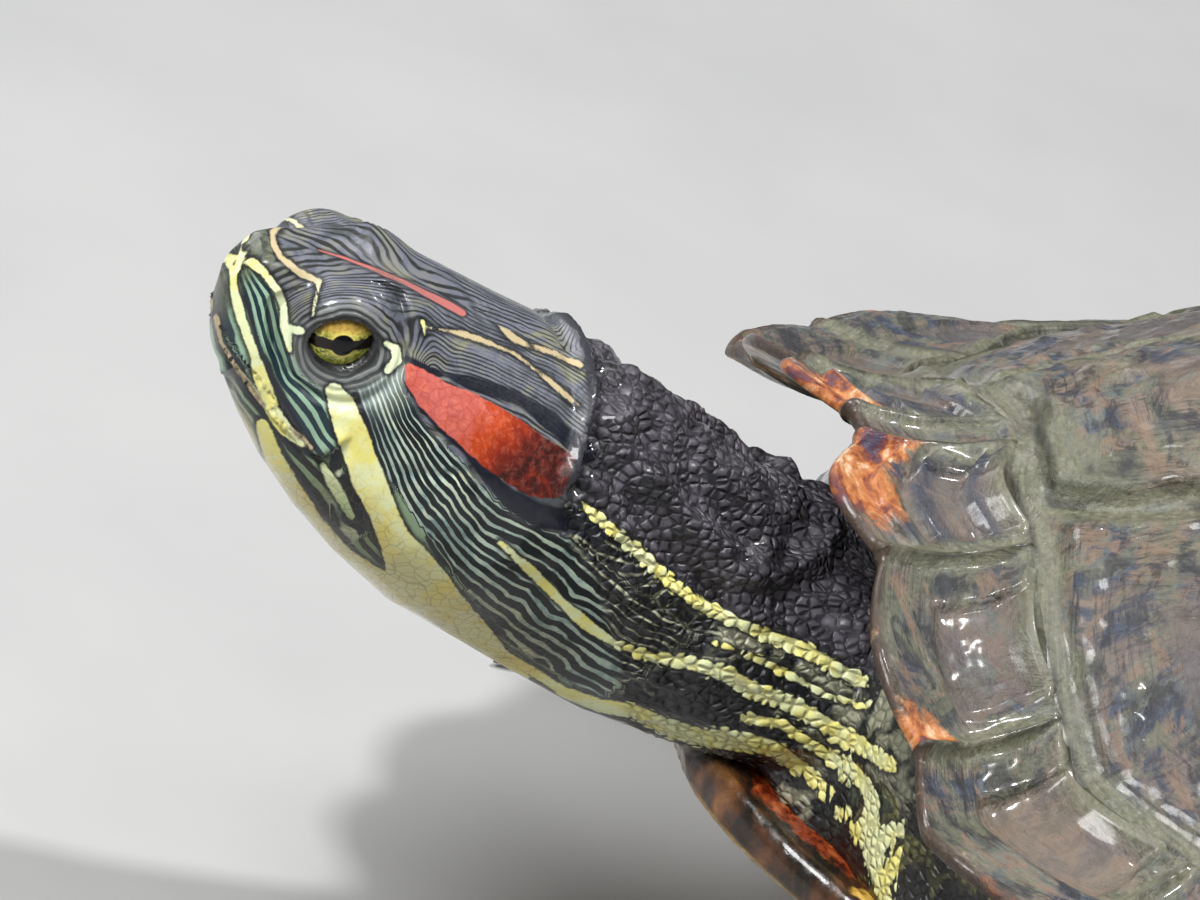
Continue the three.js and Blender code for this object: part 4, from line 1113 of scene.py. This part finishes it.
DARK_LINES = [
    [(407, 358, 4), (430, 370, 7), (455, 378, 9), (485, 387, 10), (515, 397, 12), (540, 412, 16), (562, 432, 20),
     (585, 452, 22)],
    [(409, 385, 4), (425, 409, 6), (448, 433, 8), (470, 452, 10), (488, 476, 13), (510, 500, 18), (540, 515, 22),
     (573, 521, 22), (600, 535, 16)],
    [(327, 392, 3), (334, 430, 4), (343, 460, 5), (352, 490, 6), (366, 520, 7), (380, 548, 6), (398, 575, 5)],
    [(355, 395, 4), (366, 425, 6), (374, 455, 6), (384, 482, 6), (396, 510, 6), (412, 538, 6), (436, 568, 6),
     (465, 598, 6), (500, 632, 6)],
    [(258, 418, 3), (262, 445, 5), (272, 475, 5), (290, 508, 5), (312, 535, 4)],
    [(272, 428, 4), (284, 452, 5), (298, 480, 5), (312, 502, 5), (332, 525, 5), (365, 560, 4)],
    [(239, 268, 3), (243, 293, 4), (252, 320, 5), (264, 350, 5), (275, 380, 5), (286, 410, 5), (300, 432, 4)],
    [(213, 322, 3), (219, 348, 4), (231, 370, 4), (249, 395, 4), (267, 418, 4), (288, 440, 4), (311, 455, 5),
     (322, 458, 4)],
]
EAR_PATCH = [(410, 368, 8), (418, 380, 22), (433, 394, 34), (455, 410, 44), (478, 426, 52), (500, 442, 58),
             (522, 457, 60), (543, 469, 58), (560, 475, 50), (572, 480, 34)]
CROWN_STRIPE = [(318, 250, 0.5), (345, 258, 2), (380, 272, 3), (413, 287, 4), (443, 302, 6), (463, 313, 5)]
# Fine lines run between pairs of guide lines; the number is how many fit between the two.
GUIDES = {
    "snout": (5, [(233, 268), (242, 320), (262, 382), (287, 431), (318, 470)],
              [(252, 263), (277, 290), (286, 330), (300, 372), (335, 395), (345, 420)]),
    "cheek": (10, [(352, 392), (360, 415), (368, 440), (378, 470), (388, 497), (400, 522), (415, 548), (440, 580),
                  (480, 615), (520, 650), (600, 700), (700, 730), (860, 830)],
              [(410, 377), (425, 405), (460, 440), (485, 468), (512, 492), (545, 508), (575, 520), (600, 540),
               (640, 572), (700, 615), (780, 650), (870, 690)]),
    "crown": (36, [(404, 345), (440, 375), (485, 390), (530, 412), (585, 455), (640, 490)],
              [(240, 160), (330, 178), (420, 212), (500, 246), (580, 285), (700, 350)]),
    "jaw": (4, [(225, 400), (262, 470), (310, 540), (385, 600), (475, 655), (560, 700)],
            [(217, 330), (250, 393), (300, 445), (345, 490), (372, 540), (420, 590), (500, 645), (560, 690)]),
}

local = head_place(untilted(coordinates(skin_mesh)))
seen = pixels(placed(from_head(local * [1, 1, 0] + np.abs(local) * [0, 0, 1])))
seen_unmirrored = pixels(placed(from_head(local)))
pale, stroke, _ = stroke_distance(seen, [line for _, line in PALE_LINES])
tint = np.array([tint for tint, _ in PALE_LINES])[stroke]
CROWN_LINES = (10, 11)
pale = pale + 9 * (np.isin(stroke, CROWN_LINES) & (local[:, 2] < 1.5)) + 9 * (tint > 0.9) * (local[:, 0] < 1.5)
dark = stroke_distance(seen, DARK_LINES)[0]
red, _, red_along = stroke_distance(seen, [EAR_PATCH])
crown_red = stroke_distance(seen_unmirrored, [CROWN_STRIPE])[0] + 9 * (1 - smooth(2, 6, h))
head_only = np.where((s < 104) & about_head, 0.0, 50.0)
keep(skin_mesh, "pale", pale + head_only)
keep(skin_mesh, "tint", tint)
keep(skin_mesh, "dark", dark + head_only)
keep(skin_mesh, "red", red + head_only + 9 * smooth(-0.5, 0.6, behind_fold) * (seen[:, 1] < 508))
keep(skin_mesh, "fold", fold_reach * np.exp(-((fold_gap / 0.7) ** 2)))
# Painted shade on the skin deep in the pockets of the shell.
keep(skin_mesh, "recess_shade", smooth(96, 102, s) * inside_shell)
keep(skin_mesh, "red_along", red_along)
keep(skin_mesh, "crown_red", crown_red + head_only)


def between_guides(first, second):
    """0 on the first guide and 1 on the second, and how far the nearer guide is."""
    first_gap, second_gap = to_line(seen, first)[0], to_line(seen, second)[0]
    return first_gap / (first_gap + second_gap + 1e-6), np.minimum(first_gap, second_gap)


ear_line, big_line = np.array(GUIDES["cheek"][2], float), np.array(GUIDES["cheek"][1], float)
over_ear = np.interp(seen[:, 0], ear_line[:, 0], ear_line[:, 1]) - seen[:, 1]
flows = {name: between_guides(first, second)[0] * count for name, (count, first, second) in GUIDES.items()}
eye_gap = np.linalg.norm((seen - [343, 349]) / [1.0, 0.82], axis=1) / PIXELS_PER_MM
crown_part = smooth(-8, 8, np.where(seen[:, 0] > 404, over_ear + 20, 335 - seen[:, 1] + 0.25 * (seen[:, 0] - 330)))
canthus = np.array([(252, 263), (264, 273), (277, 290), (286, 330), (300, 372), (322, 390), (335, 420), (345, 470)], float)
ahead_canthus = np.interp(seen[:, 1], canthus[:, 1], canthus[:, 0]) - seen[:, 0]
snout_part = smooth(-3, 3, ahead_canthus) * smooth(262, 268, seen[:, 1]) * (beneath < 0.3)
jaw_part = smooth(-0.3, 0.3, np.where(seen[:, 0] < 330, beneath, below_line([(330, 395), (345, 470), (372, 530), (420, 585), (500, 640), (600, 700)])))
jaw_part = jaw_part * (1 - snout_part)
crown_part = crown_part * (1 - snout_part) * (1 - jaw_part)
cheek_part = np.clip(1 - crown_part - snout_part - jaw_part, 0, 1)
flows["crown"] = blend(flows["crown"], eye_gap * 1.3, smooth(11, 7, eye_gap))
flow = np.select([snout_part > 0.5, jaw_part > 0.5, crown_part > 0.5], [flows["snout"], flows["jaw"], flows["crown"]], flows["cheek"])
keep(skin_mesh, "flow", flow)
keep(skin_mesh, "snout", snout_part)
keep(skin_mesh, "jaw", jaw_part)
keep(skin_mesh, "crown", crown_part)
keep(skin_mesh, "eye_gap", np.where((s < 30) & about_head, eye_gap, 30))
keep(skin_mesh, "granular", np.maximum(neck_part, 1 - on_neck))
over_stripe = (np.interp(seen[:, 0], [560, 600, 650, 700, 800, 900], [500, 520, 556, 600, 644, 690]) - seen[:, 1]) / PIXELS_PER_MM
keep(skin_mesh, "upper_neck", smooth(-0.6, 0.6, over_stripe) * about_head)
keep(skin_mesh, "throat", smooth(2.45, 2.9, around_neck) * on_neck * smooth(9, 14, s))
keep(skin_mesh, "chin", smooth(1.6, 2.2, around_neck) * about_head * smooth(12, 26, s) * smooth(68, 56, s))
keep(skin_mesh, "muzzle", smooth(3.2, 1.2, s) * smooth(4.5, 2.5, np.abs(l)) * about_head)
# Painted shade: the shallow dents of the nostrils are painted nearly black.
keep(skin_mesh, "nostril_shade", lump((0.3, 0.6, 1.7), (0.9, 0.7, 0.7)))
keep(skin_mesh, "lid", opening)

# Yellow lines also run down each leg and the tail, spaced round the limb's own middle line.
SHOULDER, ELBOW, WRIST, FORE_REACH = (34, -66, 27), (75.5, -70.5, 40), (86, -87, 13), {1: 14, -1: -18}
HIP, KNEE, ANKLE, HIND_REACH = (30, 62, 24), (80, 70, 18), (93, 96, 10.5), {1: 7, -1: 0}
TAIL_LINE = [(0, 62, 26), (0, 104, 23)], [(4, 132, 13), (12, 154, 7)]


def limb_lines():
    """The middle line of each leg and the tail, in millimetres of the scene."""
    found = []
    for turn in (1, -1):
        reach = FORE_REACH[turn]
        bends = np.array([(ELBOW[0] * turn, ELBOW[1] - reach * 0.5, ELBOW[2] + reach * 0.2),
                          (WRIST[0] * turn, WRIST[1] - reach, WRIST[2]), (WRIST[0] * 1.12 * turn, WRIST[1] - reach - 30, 3)])
        root = tilted(np.array([SHOULDER[0] * turn, *SHOULDER[1:]], float))
        found.append(np.vstack([root[None], bends]) + centring)
        reach = HIND_REACH[turn]
        bends = np.array([(KNEE[0] * turn, *KNEE[1:]), (ANKLE[0] * turn, ANKLE[1] + reach, ANKLE[2]),
                          (ANKLE[0] * 1.18 * turn, ANKLE[1] + reach + 32, 3)])
        root = tilted(np.array([HIP[0] * turn, *HIP[1:]], float))
        found.append(np.vstack([root[None], bends]) + centring)
    found.append(np.vstack([tilted(np.array(TAIL_LINE[0], float)), np.array(TAIL_LINE[1], float)]) + centring)
    return found


spots = coordinates(skin_mesh) * 1000
limb_flow, limb_gap = np.zeros(len(spots)), np.full(len(spots), 1e9)
for line in limb_lines():
    for start, end in zip(line, line[1:]):
        way = (end - start) / np.linalg.norm(end - start)
        share = np.clip((spots - start) @ way / np.linalg.norm(end - start), 0, 1)
        off = spots - start - (share * np.linalg.norm(end - start))[:, None] * way
        gap = np.linalg.norm(off, axis=1)
        across_way = np.cross(way, (0, 0, 1))
        across_way /= np.linalg.norm(across_way)
        turn = np.arctan2(off @ np.cross(across_way, way), off @ across_way)
        nearer = gap < limb_gap
        limb_gap[nearer] = gap[nearer]
        limb_flow[nearer] = (turn / math.tau * 11)[nearer]
on_limb = 1 - (1 - smooth(94, 104, s)) * about_head
keep(skin_mesh, "limb_flow", limb_flow)
keep(skin_mesh, "limb", on_limb)

# Hide: slate and olive skin, wet and close grained. Fine dark and pale lines follow the form of
# the head; yellow lines edged with black run on over the granules of the neck and legs.
hide, tree, surface = finish("wet_hide", roughness=0.42, coat=0.6, coat_roughness=0.07, ior=1.36)
where = place_of(tree)
mottle = noise_at(tree, where, 0.18, 5, 1.0, 0.6)
speckle = noise_at(tree, where, 1.3, 4, 0.5, 0.7)
wander = noise_at(tree, where, 0.16, 2, 0.4, 0.45)
flow = number_at(tree, "flow")
snout, jaw, crown = (number_at(tree, name) for name in ("snout", "jaw", "crown"))
granular, upper_neck, limb = (number_at(tree, name) for name in ("granular", "upper_neck", "limb"))
eye_gap = number_at(tree, "eye_gap")


def lines_along(phase, wobble, low, high, broken=1.6):
    """Fine lines that thicken, thin out and wander as they run."""
    bent = plus(phase, plus(times(wander, wobble), times(speckle, 0.16)))
    wave = sum_of(tree, "SINE", times(bent, math.tau))
    uneven = noise_at(tree, drawn_out(tree, times(bent, 1.2), 0.12), 1.0, 3, 0.2, 0.6)
    return between(tree, plus(wave, times(sum_of(tree, "SUBTRACT", uneven, 0.5), broken * 2.4)), low, high)


def times(first, second):
    return sum_of(tree, "MULTIPLY", first, second)


def plus(first, second):
    return sum_of(tree, "ADD", first, second)


# Granules: cells packed like pebbles.
stretched = place_of(tree, GRANULES[1])
pebbles = cells_at(tree, stretched, GRANULES[0], "DISTANCE_TO_EDGE", GRANULES[2])
from_pebble = cells_at(tree, stretched, GRANULES[0], "F1", GRANULES[2])
round_top = sum_of(tree, "SUBTRACT", 1.0, times(times(from_pebble, from_pebble), 1.3), clamp=True)
dome_of_pebble = times(between(tree, pebbles, 0.0, 0.26), round_top)

near_eye_light = between(tree, eye_gap, 13, 5)
cheek_lines = sum_of(tree, "MAXIMUM", lines_along(times(flow, 1.22), 1.9, 0.2, 0.75), times(near_eye_light, 0.42))
cheek_colour = mixed(tree, cheek_lines, (0.006, 0.009, 0.011), shades(
    tree, mottle, (0.35, (0.16, 0.24, 0.22)), (0.5, (0.36, 0.45, 0.38)), (0.68, (0.56, 0.60, 0.42))))
cheek_colour = mixed(tree, times(times(near_eye_light, cheek_lines), 0.6), cheek_colour, (0.50, 0.56, 0.54))
snout_colour = mixed(tree, lines_along(flow, 0.8, -0.1, 0.5), (0.010, 0.024, 0.034), (0.26, 0.40, 0.28))
crown_colour = mixed(tree, lines_along(flow, 2.4, -1.0, 0.3, 2.4), (0.020, 0.021, 0.020), shades(
    tree, mottle, (0.36, (0.06, 0.068, 0.072)), (0.5, (0.125, 0.13, 0.165)), (0.66, (0.19, 0.19, 0.13))))
jaw_colour = mixed(tree, lines_along(flow, 1.0, 0.1, 0.6), (0.007, 0.010, 0.011), (0.20, 0.28, 0.17))
colour = mixed(tree, crown, cheek_colour, crown_colour)
colour = mixed(tree, snout, colour, snout_colour)
colour = mixed(tree, jaw, colour, jaw_colour)

ring = sum_of(tree, "SINE", times(plus(eye_gap, times(wander, 2.6)), 7.0))
socket_colour = mixed(tree, between(tree, ring, -0.5, 0.4), (0.035, 0.038, 0.038), (0.19, 0.20, 0.19))
colour = mixed(tree, between(tree, eye_gap, 5.4, 6.6, 0.92, 0), colour, socket_colour)

neck_lines = lines_along(times(flow, 1.5), 2.0, 0.5, 1.1)
neck_dark = shades(tree, mottle, (0.35, (0.006, 0.006, 0.007)), (0.6, (0.022, 0.023, 0.027)))
neck_line_colour = mixed(tree, times(neck_lines, 0.85), neck_dark, (0.42, 0.42, 0.29))
# The nape's grey-lilac shades are its own dark skin, lightened by a painted sheen of wet skin.
neck_colour_and_sheen = mixed(tree, upper_neck, neck_line_colour, shades(
    tree, mottle, (0.32, (0.022, 0.020, 0.023)), (0.5, (0.055, 0.050, 0.060)), (0.7, (0.12, 0.11, 0.13))))
colour = mixed(tree, granular, colour, neck_colour_and_sheen)

limb_light = lines_along(number_at(tree, "limb_flow"), 2.4, 0.35, 0.75)
limb_colour = mixed(tree, limb_light, shades(tree, mottle, (0.35, (0.008, 0.009, 0.009)), (0.65, (0.032, 0.034, 0.028))),
                    shades(tree, speckle, (0.35, (0.28, 0.30, 0.09)), (0.65, (0.56, 0.52, 0.16))))
colour = mixed(tree, limb, colour, limb_colour)
colour = mixed(tree, times(number_at(tree, "throat"), between(tree, mottle, 0.3, 0.5, 0.5, 1)), colour, (0.58, 0.53, 0.20))

# Painted shade in the grooves between the granules.
groove_shade = times(granular, between(tree, pebbles, 0.0, 0.16, 0.75, 0))
colour = mixed(tree, groove_shade, colour, (0.005, 0.005, 0.006))
# Painted shade: the skin deep in the shell's pockets is darkened to near black.
colour = mixed(tree, times(number_at(tree, "recess_shade"), 0.9), colour, (0.008, 0.008, 0.008))
colour = mixed(tree, between(tree, number_at(tree, "lid"), 1.3, 1.9, 0.93, 0), colour, (0.012, 0.012, 0.012))
colour = mixed(tree, times(number_at(tree, "muzzle"), 0.85), colour, shades(
    tree, speckle, (0.4, (0.03, 0.04, 0.03)), (0.6, (0.10, 0.11, 0.06))))
wobble = times(sum_of(tree, "SUBTRACT", wander, 0.5), 1.6)
dark_gap = plus(number_at(tree, "dark"), wobble)
colour = mixed(tree, between(tree, dark_gap, -0.15, 0.3, 0.96, 0), colour, (0.006, 0.007, 0.014))
ragged = plus(times(wobble, 0.6), times(sum_of(tree, "SUBTRACT", speckle, 0.5), 0.5))
beaded = times(granular, times(sum_of(tree, "SUBTRACT", 0.5, dome_of_pebble), 0.45))
pale_gap = plus(plus(number_at(tree, "pale"), ragged), beaded)
colour = mixed(tree, between(tree, pale_gap, 0.15, 0.75, 0.9, 0), colour, (0.007, 0.008, 0.010))
pale_colour = shades(tree, number_at(tree, "tint"), (0.0, (0.74, 0.68, 0.20)), (0.5, (0.40, 0.55, 0.34)), (1.0, (0.42, 0.34, 0.20)))
paler = plus(times(near_eye_light, 0.6), times(between(tree, mottle, 0.40, 0.60, 0, 0.75), between(tree, number_at(tree, "tint"), 0.6, 0.9, 1, 0)))
pale_colour = mixed(tree, paler, pale_colour, (0.70, 0.77, 0.50))
pale_colour = mixed(tree, between(tree, speckle, 0.5, 0.72, 0, 0.35), pale_colour, (0.46, 0.40, 0.12))
# A weaker, warmer painted shade in the grooves where the pale lines cross the granules.
pale_colour = mixed(tree, times(groove_shade, 0.75), pale_colour, (0.20, 0.16, 0.04))
colour = mixed(tree, between(tree, pale_gap, -0.08, 0.16, 1, 0), colour, pale_colour)
red_gap = plus(number_at(tree, "red"), ragged)
red_along = plus(number_at(tree, "red_along"), times(sum_of(tree, "SUBTRACT", mottle, 0.5), 0.7))
red_colour = shades(tree, red_along, (0.0, (0.46, 0.08, 0.05)), (0.2, (0.48, 0.115, 0.10)), (0.40, (0.45, 0.095, 0.07)),
                    (0.50, (0.42, 0.05, 0.008)), (0.64, (0.21, 0.018, 0.005)), (0.80, (0.035, 0.008, 0.007)))
lit_red = times(between(tree, speckle, 0.46, 0.66, 0, 0.55), between(tree, red_along, 0.3, 0.8, 1.0, 0.25))
red_colour = mixed(tree, lit_red, red_colour, (0.66, 0.17, 0.10))
red_colour = mixed(tree, between(tree, cells_at(tree, where, 0.75), 0.0, 0.1, 0.3, 0), red_colour, (0.20, 0.02, 0.012))
colour = mixed(tree, between(tree, red_gap, -0.1, 0.14, 1, 0), colour, red_colour)
stripe_gap = plus(number_at(tree, "crown_red"), times(wobble, 0.4))
colour = mixed(tree, between(tree, stripe_gap, 0.0, 0.5, 0.85, 0), colour, (0.01, 0.01, 0.012))
colour = mixed(tree, between(tree, stripe_gap, -0.1, 0.12, 0.9, 0), colour, (0.50, 0.15, 0.13))
colour = mixed(tree, between(tree, number_at(tree, "fold"), 0.3, 0.6, 0, 0.95), colour, (0.022, 0.022, 0.028))
# Painted shade: the nostrils' dents are painted nearly black.
colour = mixed(tree, between(tree, number_at(tree, "nostril_shade"), 0.3, 0.6), colour, (0.002, 0.002, 0.002))
under_chin = times(between(tree, number_at(tree, "chin"), 0.0, 1.0), 0.8)
colour = mixed(tree, under_chin, colour, (0.66, 0.55, 0.40), "MULTIPLY")
# Painted shade: dark lines of skin creases under the chin.
crease_shade = between(tree, cells_at(tree, place_of(tree, (700, 1300, 1300)), 0.55), 0.0, 0.07, 0.6, 0)
colour = mixed(tree, times(under_chin, crease_shade), colour, (0.07, 0.055, 0.025))
give(tree, surface.inputs["Base Color"], colour)
give(tree, surface.inputs["Roughness"], between(tree, speckle, 0.3, 0.7, 0.28, 0.5))
wetness = noise_at(tree, where, 0.07, 3)
give(tree, surface.inputs["Coat Weight"], between(tree, wetness, 0.4, 0.6, 0.4, 1.0))
height = plus(times(speckle, 0.16), times(granular, dome_of_pebble))
height = plus(height, times(times(sum_of(tree, "SUBTRACT", 1.0, granular), between(tree, eye_gap, 5.2, 7.5, 1, 0)), times(ring, 0.12)))
relief(tree, surface, height, 0.5, 0.8)
skin = add_piece("skin", skin_mesh, SKIN_NODES, hide)


# Eyes ------------------------------------------------------------------------------------------
# Each eyeball is a glossy ball behind the lids: a yellow-green iris crossed by a black bar, a
# round black pupil and a dark rim, under a clear, slightly bulging cornea.

IRIS_RADIUS, PUPIL_RADIUS, BAR_HALF_HEIGHT = 4.2, 1.2, 0.42
for name, side in (("eye_left", 1), ("eye_right", -1)):
    low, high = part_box(name)
    centre = np.array((low + high) / 2) * 1000
    form = bmesh.new()
    bmesh.ops.create_uvsphere(form, u_segments=72, v_segments=48, radius=EYE_RADIUS)
    ball_mesh = mesh_from(form, f"{name}_ball")
    ball = coordinates(ball_mesh)
    facing = ball[:, 2] / EYE_RADIUS
    from_axis = np.hypot(ball[:, 0], ball[:, 1])
    bulge = 0.32 * smooth(4.4, 0, from_axis) * (facing > 0)
    shaped = ball * (1 + bulge / EYE_RADIUS)[:, None]
    axes = np.array([along_lid, over_lid, gaze])  # in the left side's head places
    head_offsets = shaped @ axes
    head_offsets[:, 2] *= side
    head_offsets += np.array([EYE_PLACE[0], EYE_PLACE[1], EYE_PLACE[2] * side])
    move_to(ball_mesh, placed(from_head(head_offsets)))
    if side < 0:
        ball_mesh.flip_normals()
    keep(ball_mesh, "iris_x", ball[:, 0])
    keep(ball_mesh, "iris_y", ball[:, 1])
    keep(ball_mesh, "iris_z", ball[:, 2])

    iris, tree, surface = finish(f"iris_{name}", roughness=0.3, coat=1.0, coat_roughness=0.02, ior=1.33)
    across_iris, up_iris = number_at(tree, "iris_x"), number_at(tree, "iris_y")
    where = place_of(tree)
    flecks = noise_at(tree, where, 2.4, 5, 0.4, 0.7)
    jitter = sum_of(tree, "MULTIPLY", sum_of(tree, "SUBTRACT", noise_at(tree, where, 1.1, 3), 0.5), 0.7)
    out = sum_of(tree, "SQRT", sum_of(tree, "ADD", sum_of(tree, "POWER", across_iris, 2.0),
                                      sum_of(tree, "POWER", up_iris, 2.0)))
    colour = shades(tree, flecks, (0.38, (0.07, 0.08, 0.012)), (0.5, (0.30, 0.32, 0.05)), (0.62, (0.58, 0.56, 0.13)))
    warm = between(tree, sum_of(tree, "ADD", up_iris, jitter), 0.6, 1.9, 0, 0.7)
    colour = mixed(tree, warm, colour, (0.42, 0.22, 0.05))
    ring_round_pupil = between(tree, out, PUPIL_RADIUS, PUPIL_RADIUS + 0.8, 0.75, 0)
    colour = mixed(tree, ring_round_pupil, colour, (0.72, 0.60, 0.14))
    thinner = sum_of(tree, "MULTIPLY", sum_of(tree, "ABSOLUTE", across_iris), -0.08)
    from_bar = sum_of(tree, "ADD", sum_of(tree, "ADD", sum_of(tree, "ABSOLUTE", up_iris), jitter), thinner)
    colour = mixed(tree, between(tree, from_bar, BAR_HALF_HEIGHT, BAR_HALF_HEIGHT + 0.2, 1, 0), colour, (0.008, 0.005, 0.003))
    pupil = between(tree, out, PUPIL_RADIUS, PUPIL_RADIUS + 0.14, 1, 0)
    colour = mixed(tree, pupil, colour, (0.002, 0.002, 0.003))
    rim_of_iris = between(tree, out, IRIS_RADIUS - 0.5, IRIS_RADIUS, 0, 0.95)
    colour = mixed(tree, rim_of_iris, colour, (0.02, 0.02, 0.016))
    give(tree, surface.inputs["Base Color"], colour)
    surface.inputs["Specular IOR Level"].default_value = 0.15
    relief(tree, surface, flecks, 0.05, 0.3)
    add_piece(f"{name}_ball", ball_mesh, [name], iris)


# Claws -----------------------------------------------------------------------------------------
# Five on each fore foot and four on each hind foot: curved dark horn, paler towards the root,
# growing out of the blunt tips of the toes.

dark_claw, tree, surface = finish("claw_horn", roughness=0.3, coat=0.4, coat_roughness=0.08)
grain_of_claw = noise_at(tree, place_of(tree, (1000, 300, 1000)), 0.9, 4, 0.3)
along_claw = number_at(tree, "along")
colour = mixed(tree, between(tree, sum_of(tree, "ADD", along_claw, sum_of(tree, "MULTIPLY", grain_of_claw, 0.5)), 0.35, 0.9),
               (0.26, 0.19, 0.10), (0.035, 0.026, 0.018))
give(tree, surface.inputs["Base Color"], colour)
relief(tree, surface, grain_of_claw, 0.15, 0.6)
CLAW_SIDES, CLAW_RINGS = 20, 14
for name in [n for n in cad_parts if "claw" in n]:
    low, high = (np.array(corner) * 1000 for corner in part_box(name))
    found = coordinates(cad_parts[name].data) * 1000
    centre = found.mean(axis=0)
    spread = found - centre
    way = np.linalg.svd(spread[:, :2], full_matrices=False)[2][0]
    forward = -1 if name.startswith("fore") else 1
    way = way * (1 if way[1] * forward > 0 else -1)
    reach = spread[:, :2] @ way
    root = centre[:2] + way * reach.min()
    tip = root + way * 0.82 * np.ptp(reach)
    length = np.linalg.norm(tip - root)
    at_root = found[reach < reach.min() + 0.4]
    root_height, root_radius = (at_root[:, 2].max() + at_root[:, 2].min()) / 2, np.ptp(at_root[:, 2]) / 2
    form = bmesh.new()
    bmesh.ops.create_cone(form, cap_ends=True, segments=CLAW_SIDES, radius1=1, radius2=1, depth=1)
    bmesh.ops.subdivide_edges(form, edges=[e for e in form.edges if abs(e.verts[0].co.z - e.verts[1].co.z) > 0.5],
                              cuts=CLAW_RINGS)
    claw_mesh = mesh_from(form, f"{name}_horn")
    tube = coordinates(claw_mesh)
    along = tube[:, 2] + 0.5
    thick = root_radius * (1 + 0.12 * np.sin(along * math.pi)) * np.sqrt(np.maximum(0.02, 1 - along**1.7)) * 1.02
    bend = root_height + 0.9 * np.sin(along * math.pi * 0.8) - (root_height - 0.35) * along**1.6
    across_way = np.array([-way[1], way[0]])
    start = root - way * 1.2
    flat = start + np.outer(along * (length + 1.2), way) + np.outer(tube[:, 0] * thick * 0.85, across_way)
    shaped = np.column_stack([flat, np.maximum(bend + tube[:, 1] * thick, 0.02)])
    move_to(claw_mesh, shaped * 0.001)
    form = bmesh.new()
    form.from_mesh(claw_mesh)
    bmesh.ops.recalc_face_normals(form, faces=form.faces)
    form.to_mesh(claw_mesh)
    form.free()
    keep(claw_mesh, "along", along)
    add_piece(f"{name}_horn", claw_mesh, [name], dark_claw)


# Floor and light -------------------------------------------------------------------------------
# A wide pale floor. A large soft light hangs over the left shoulder, with a smaller, harder one
# high behind it for the glints on wet skin and horn, and a weak one fills the far side.

form = bmesh.new()
bmesh.ops.create_grid(form, x_segments=8, y_segments=8, size=4)
ground = bpy.data.objects.new("ground", mesh_from(form, "ground"))
bpy.context.scene.collection.objects.link(ground)
pale, tree, surface = finish("pale_floor", roughness=0.85)
tone = noise_at(tree, place_of(tree), 0.02, 3)
give(tree, surface.inputs["Base Color"], shades(tree, tone, (0.3, (0.33, 0.33, 0.328)), (0.7, (0.36, 0.36, 0.355))))
ground.data.materials.append(pale)

LIGHTS = {
    "over_shoulder": ((0.35, -0.75, 0.95), 0.4, 16),
    "glint": ((0.05, 0.25, 1.15), 0.08, 12),
    "far_fill": ((-0.9, -0.5, 0.6), 0.7, 4),
}
for name, (place, size, watts) in LIGHTS.items():
    lamp = bpy.data.lights.new(name, "AREA")
    lamp.size = size
    lamp.energy = watts
    light = bpy.data.objects.new(name, lamp)
    light.location = place
    light.rotation_euler = (VIEW_TARGET - Vector(place)).to_track_quat("-Z", "Y").to_euler()
    bpy.context.scene.collection.objects.link(light)
# An even, weak light from far off keeps the floor as bright at the horizon as the sky over it.
even = bpy.data.lights.new("even", "SUN")
even.energy = 0.75
even.angle = 0.7
even_light = bpy.data.objects.new("even", even)
even_light.rotation_euler = (math.radians(20), math.radians(25), 0)
bpy.context.scene.collection.objects.link(even_light)
sky = bpy.data.worlds.new("soft_sky")
sky.use_nodes = True
sky.node_tree.nodes["Background"].inputs["Color"].default_value = (0.83, 0.87, 0.95, 1)
sky.node_tree.nodes["Background"].inputs["Strength"].default_value = 0.16
bpy.context.scene.world = sky
bpy.context.scene.view_settings.view_transform = "Standard"
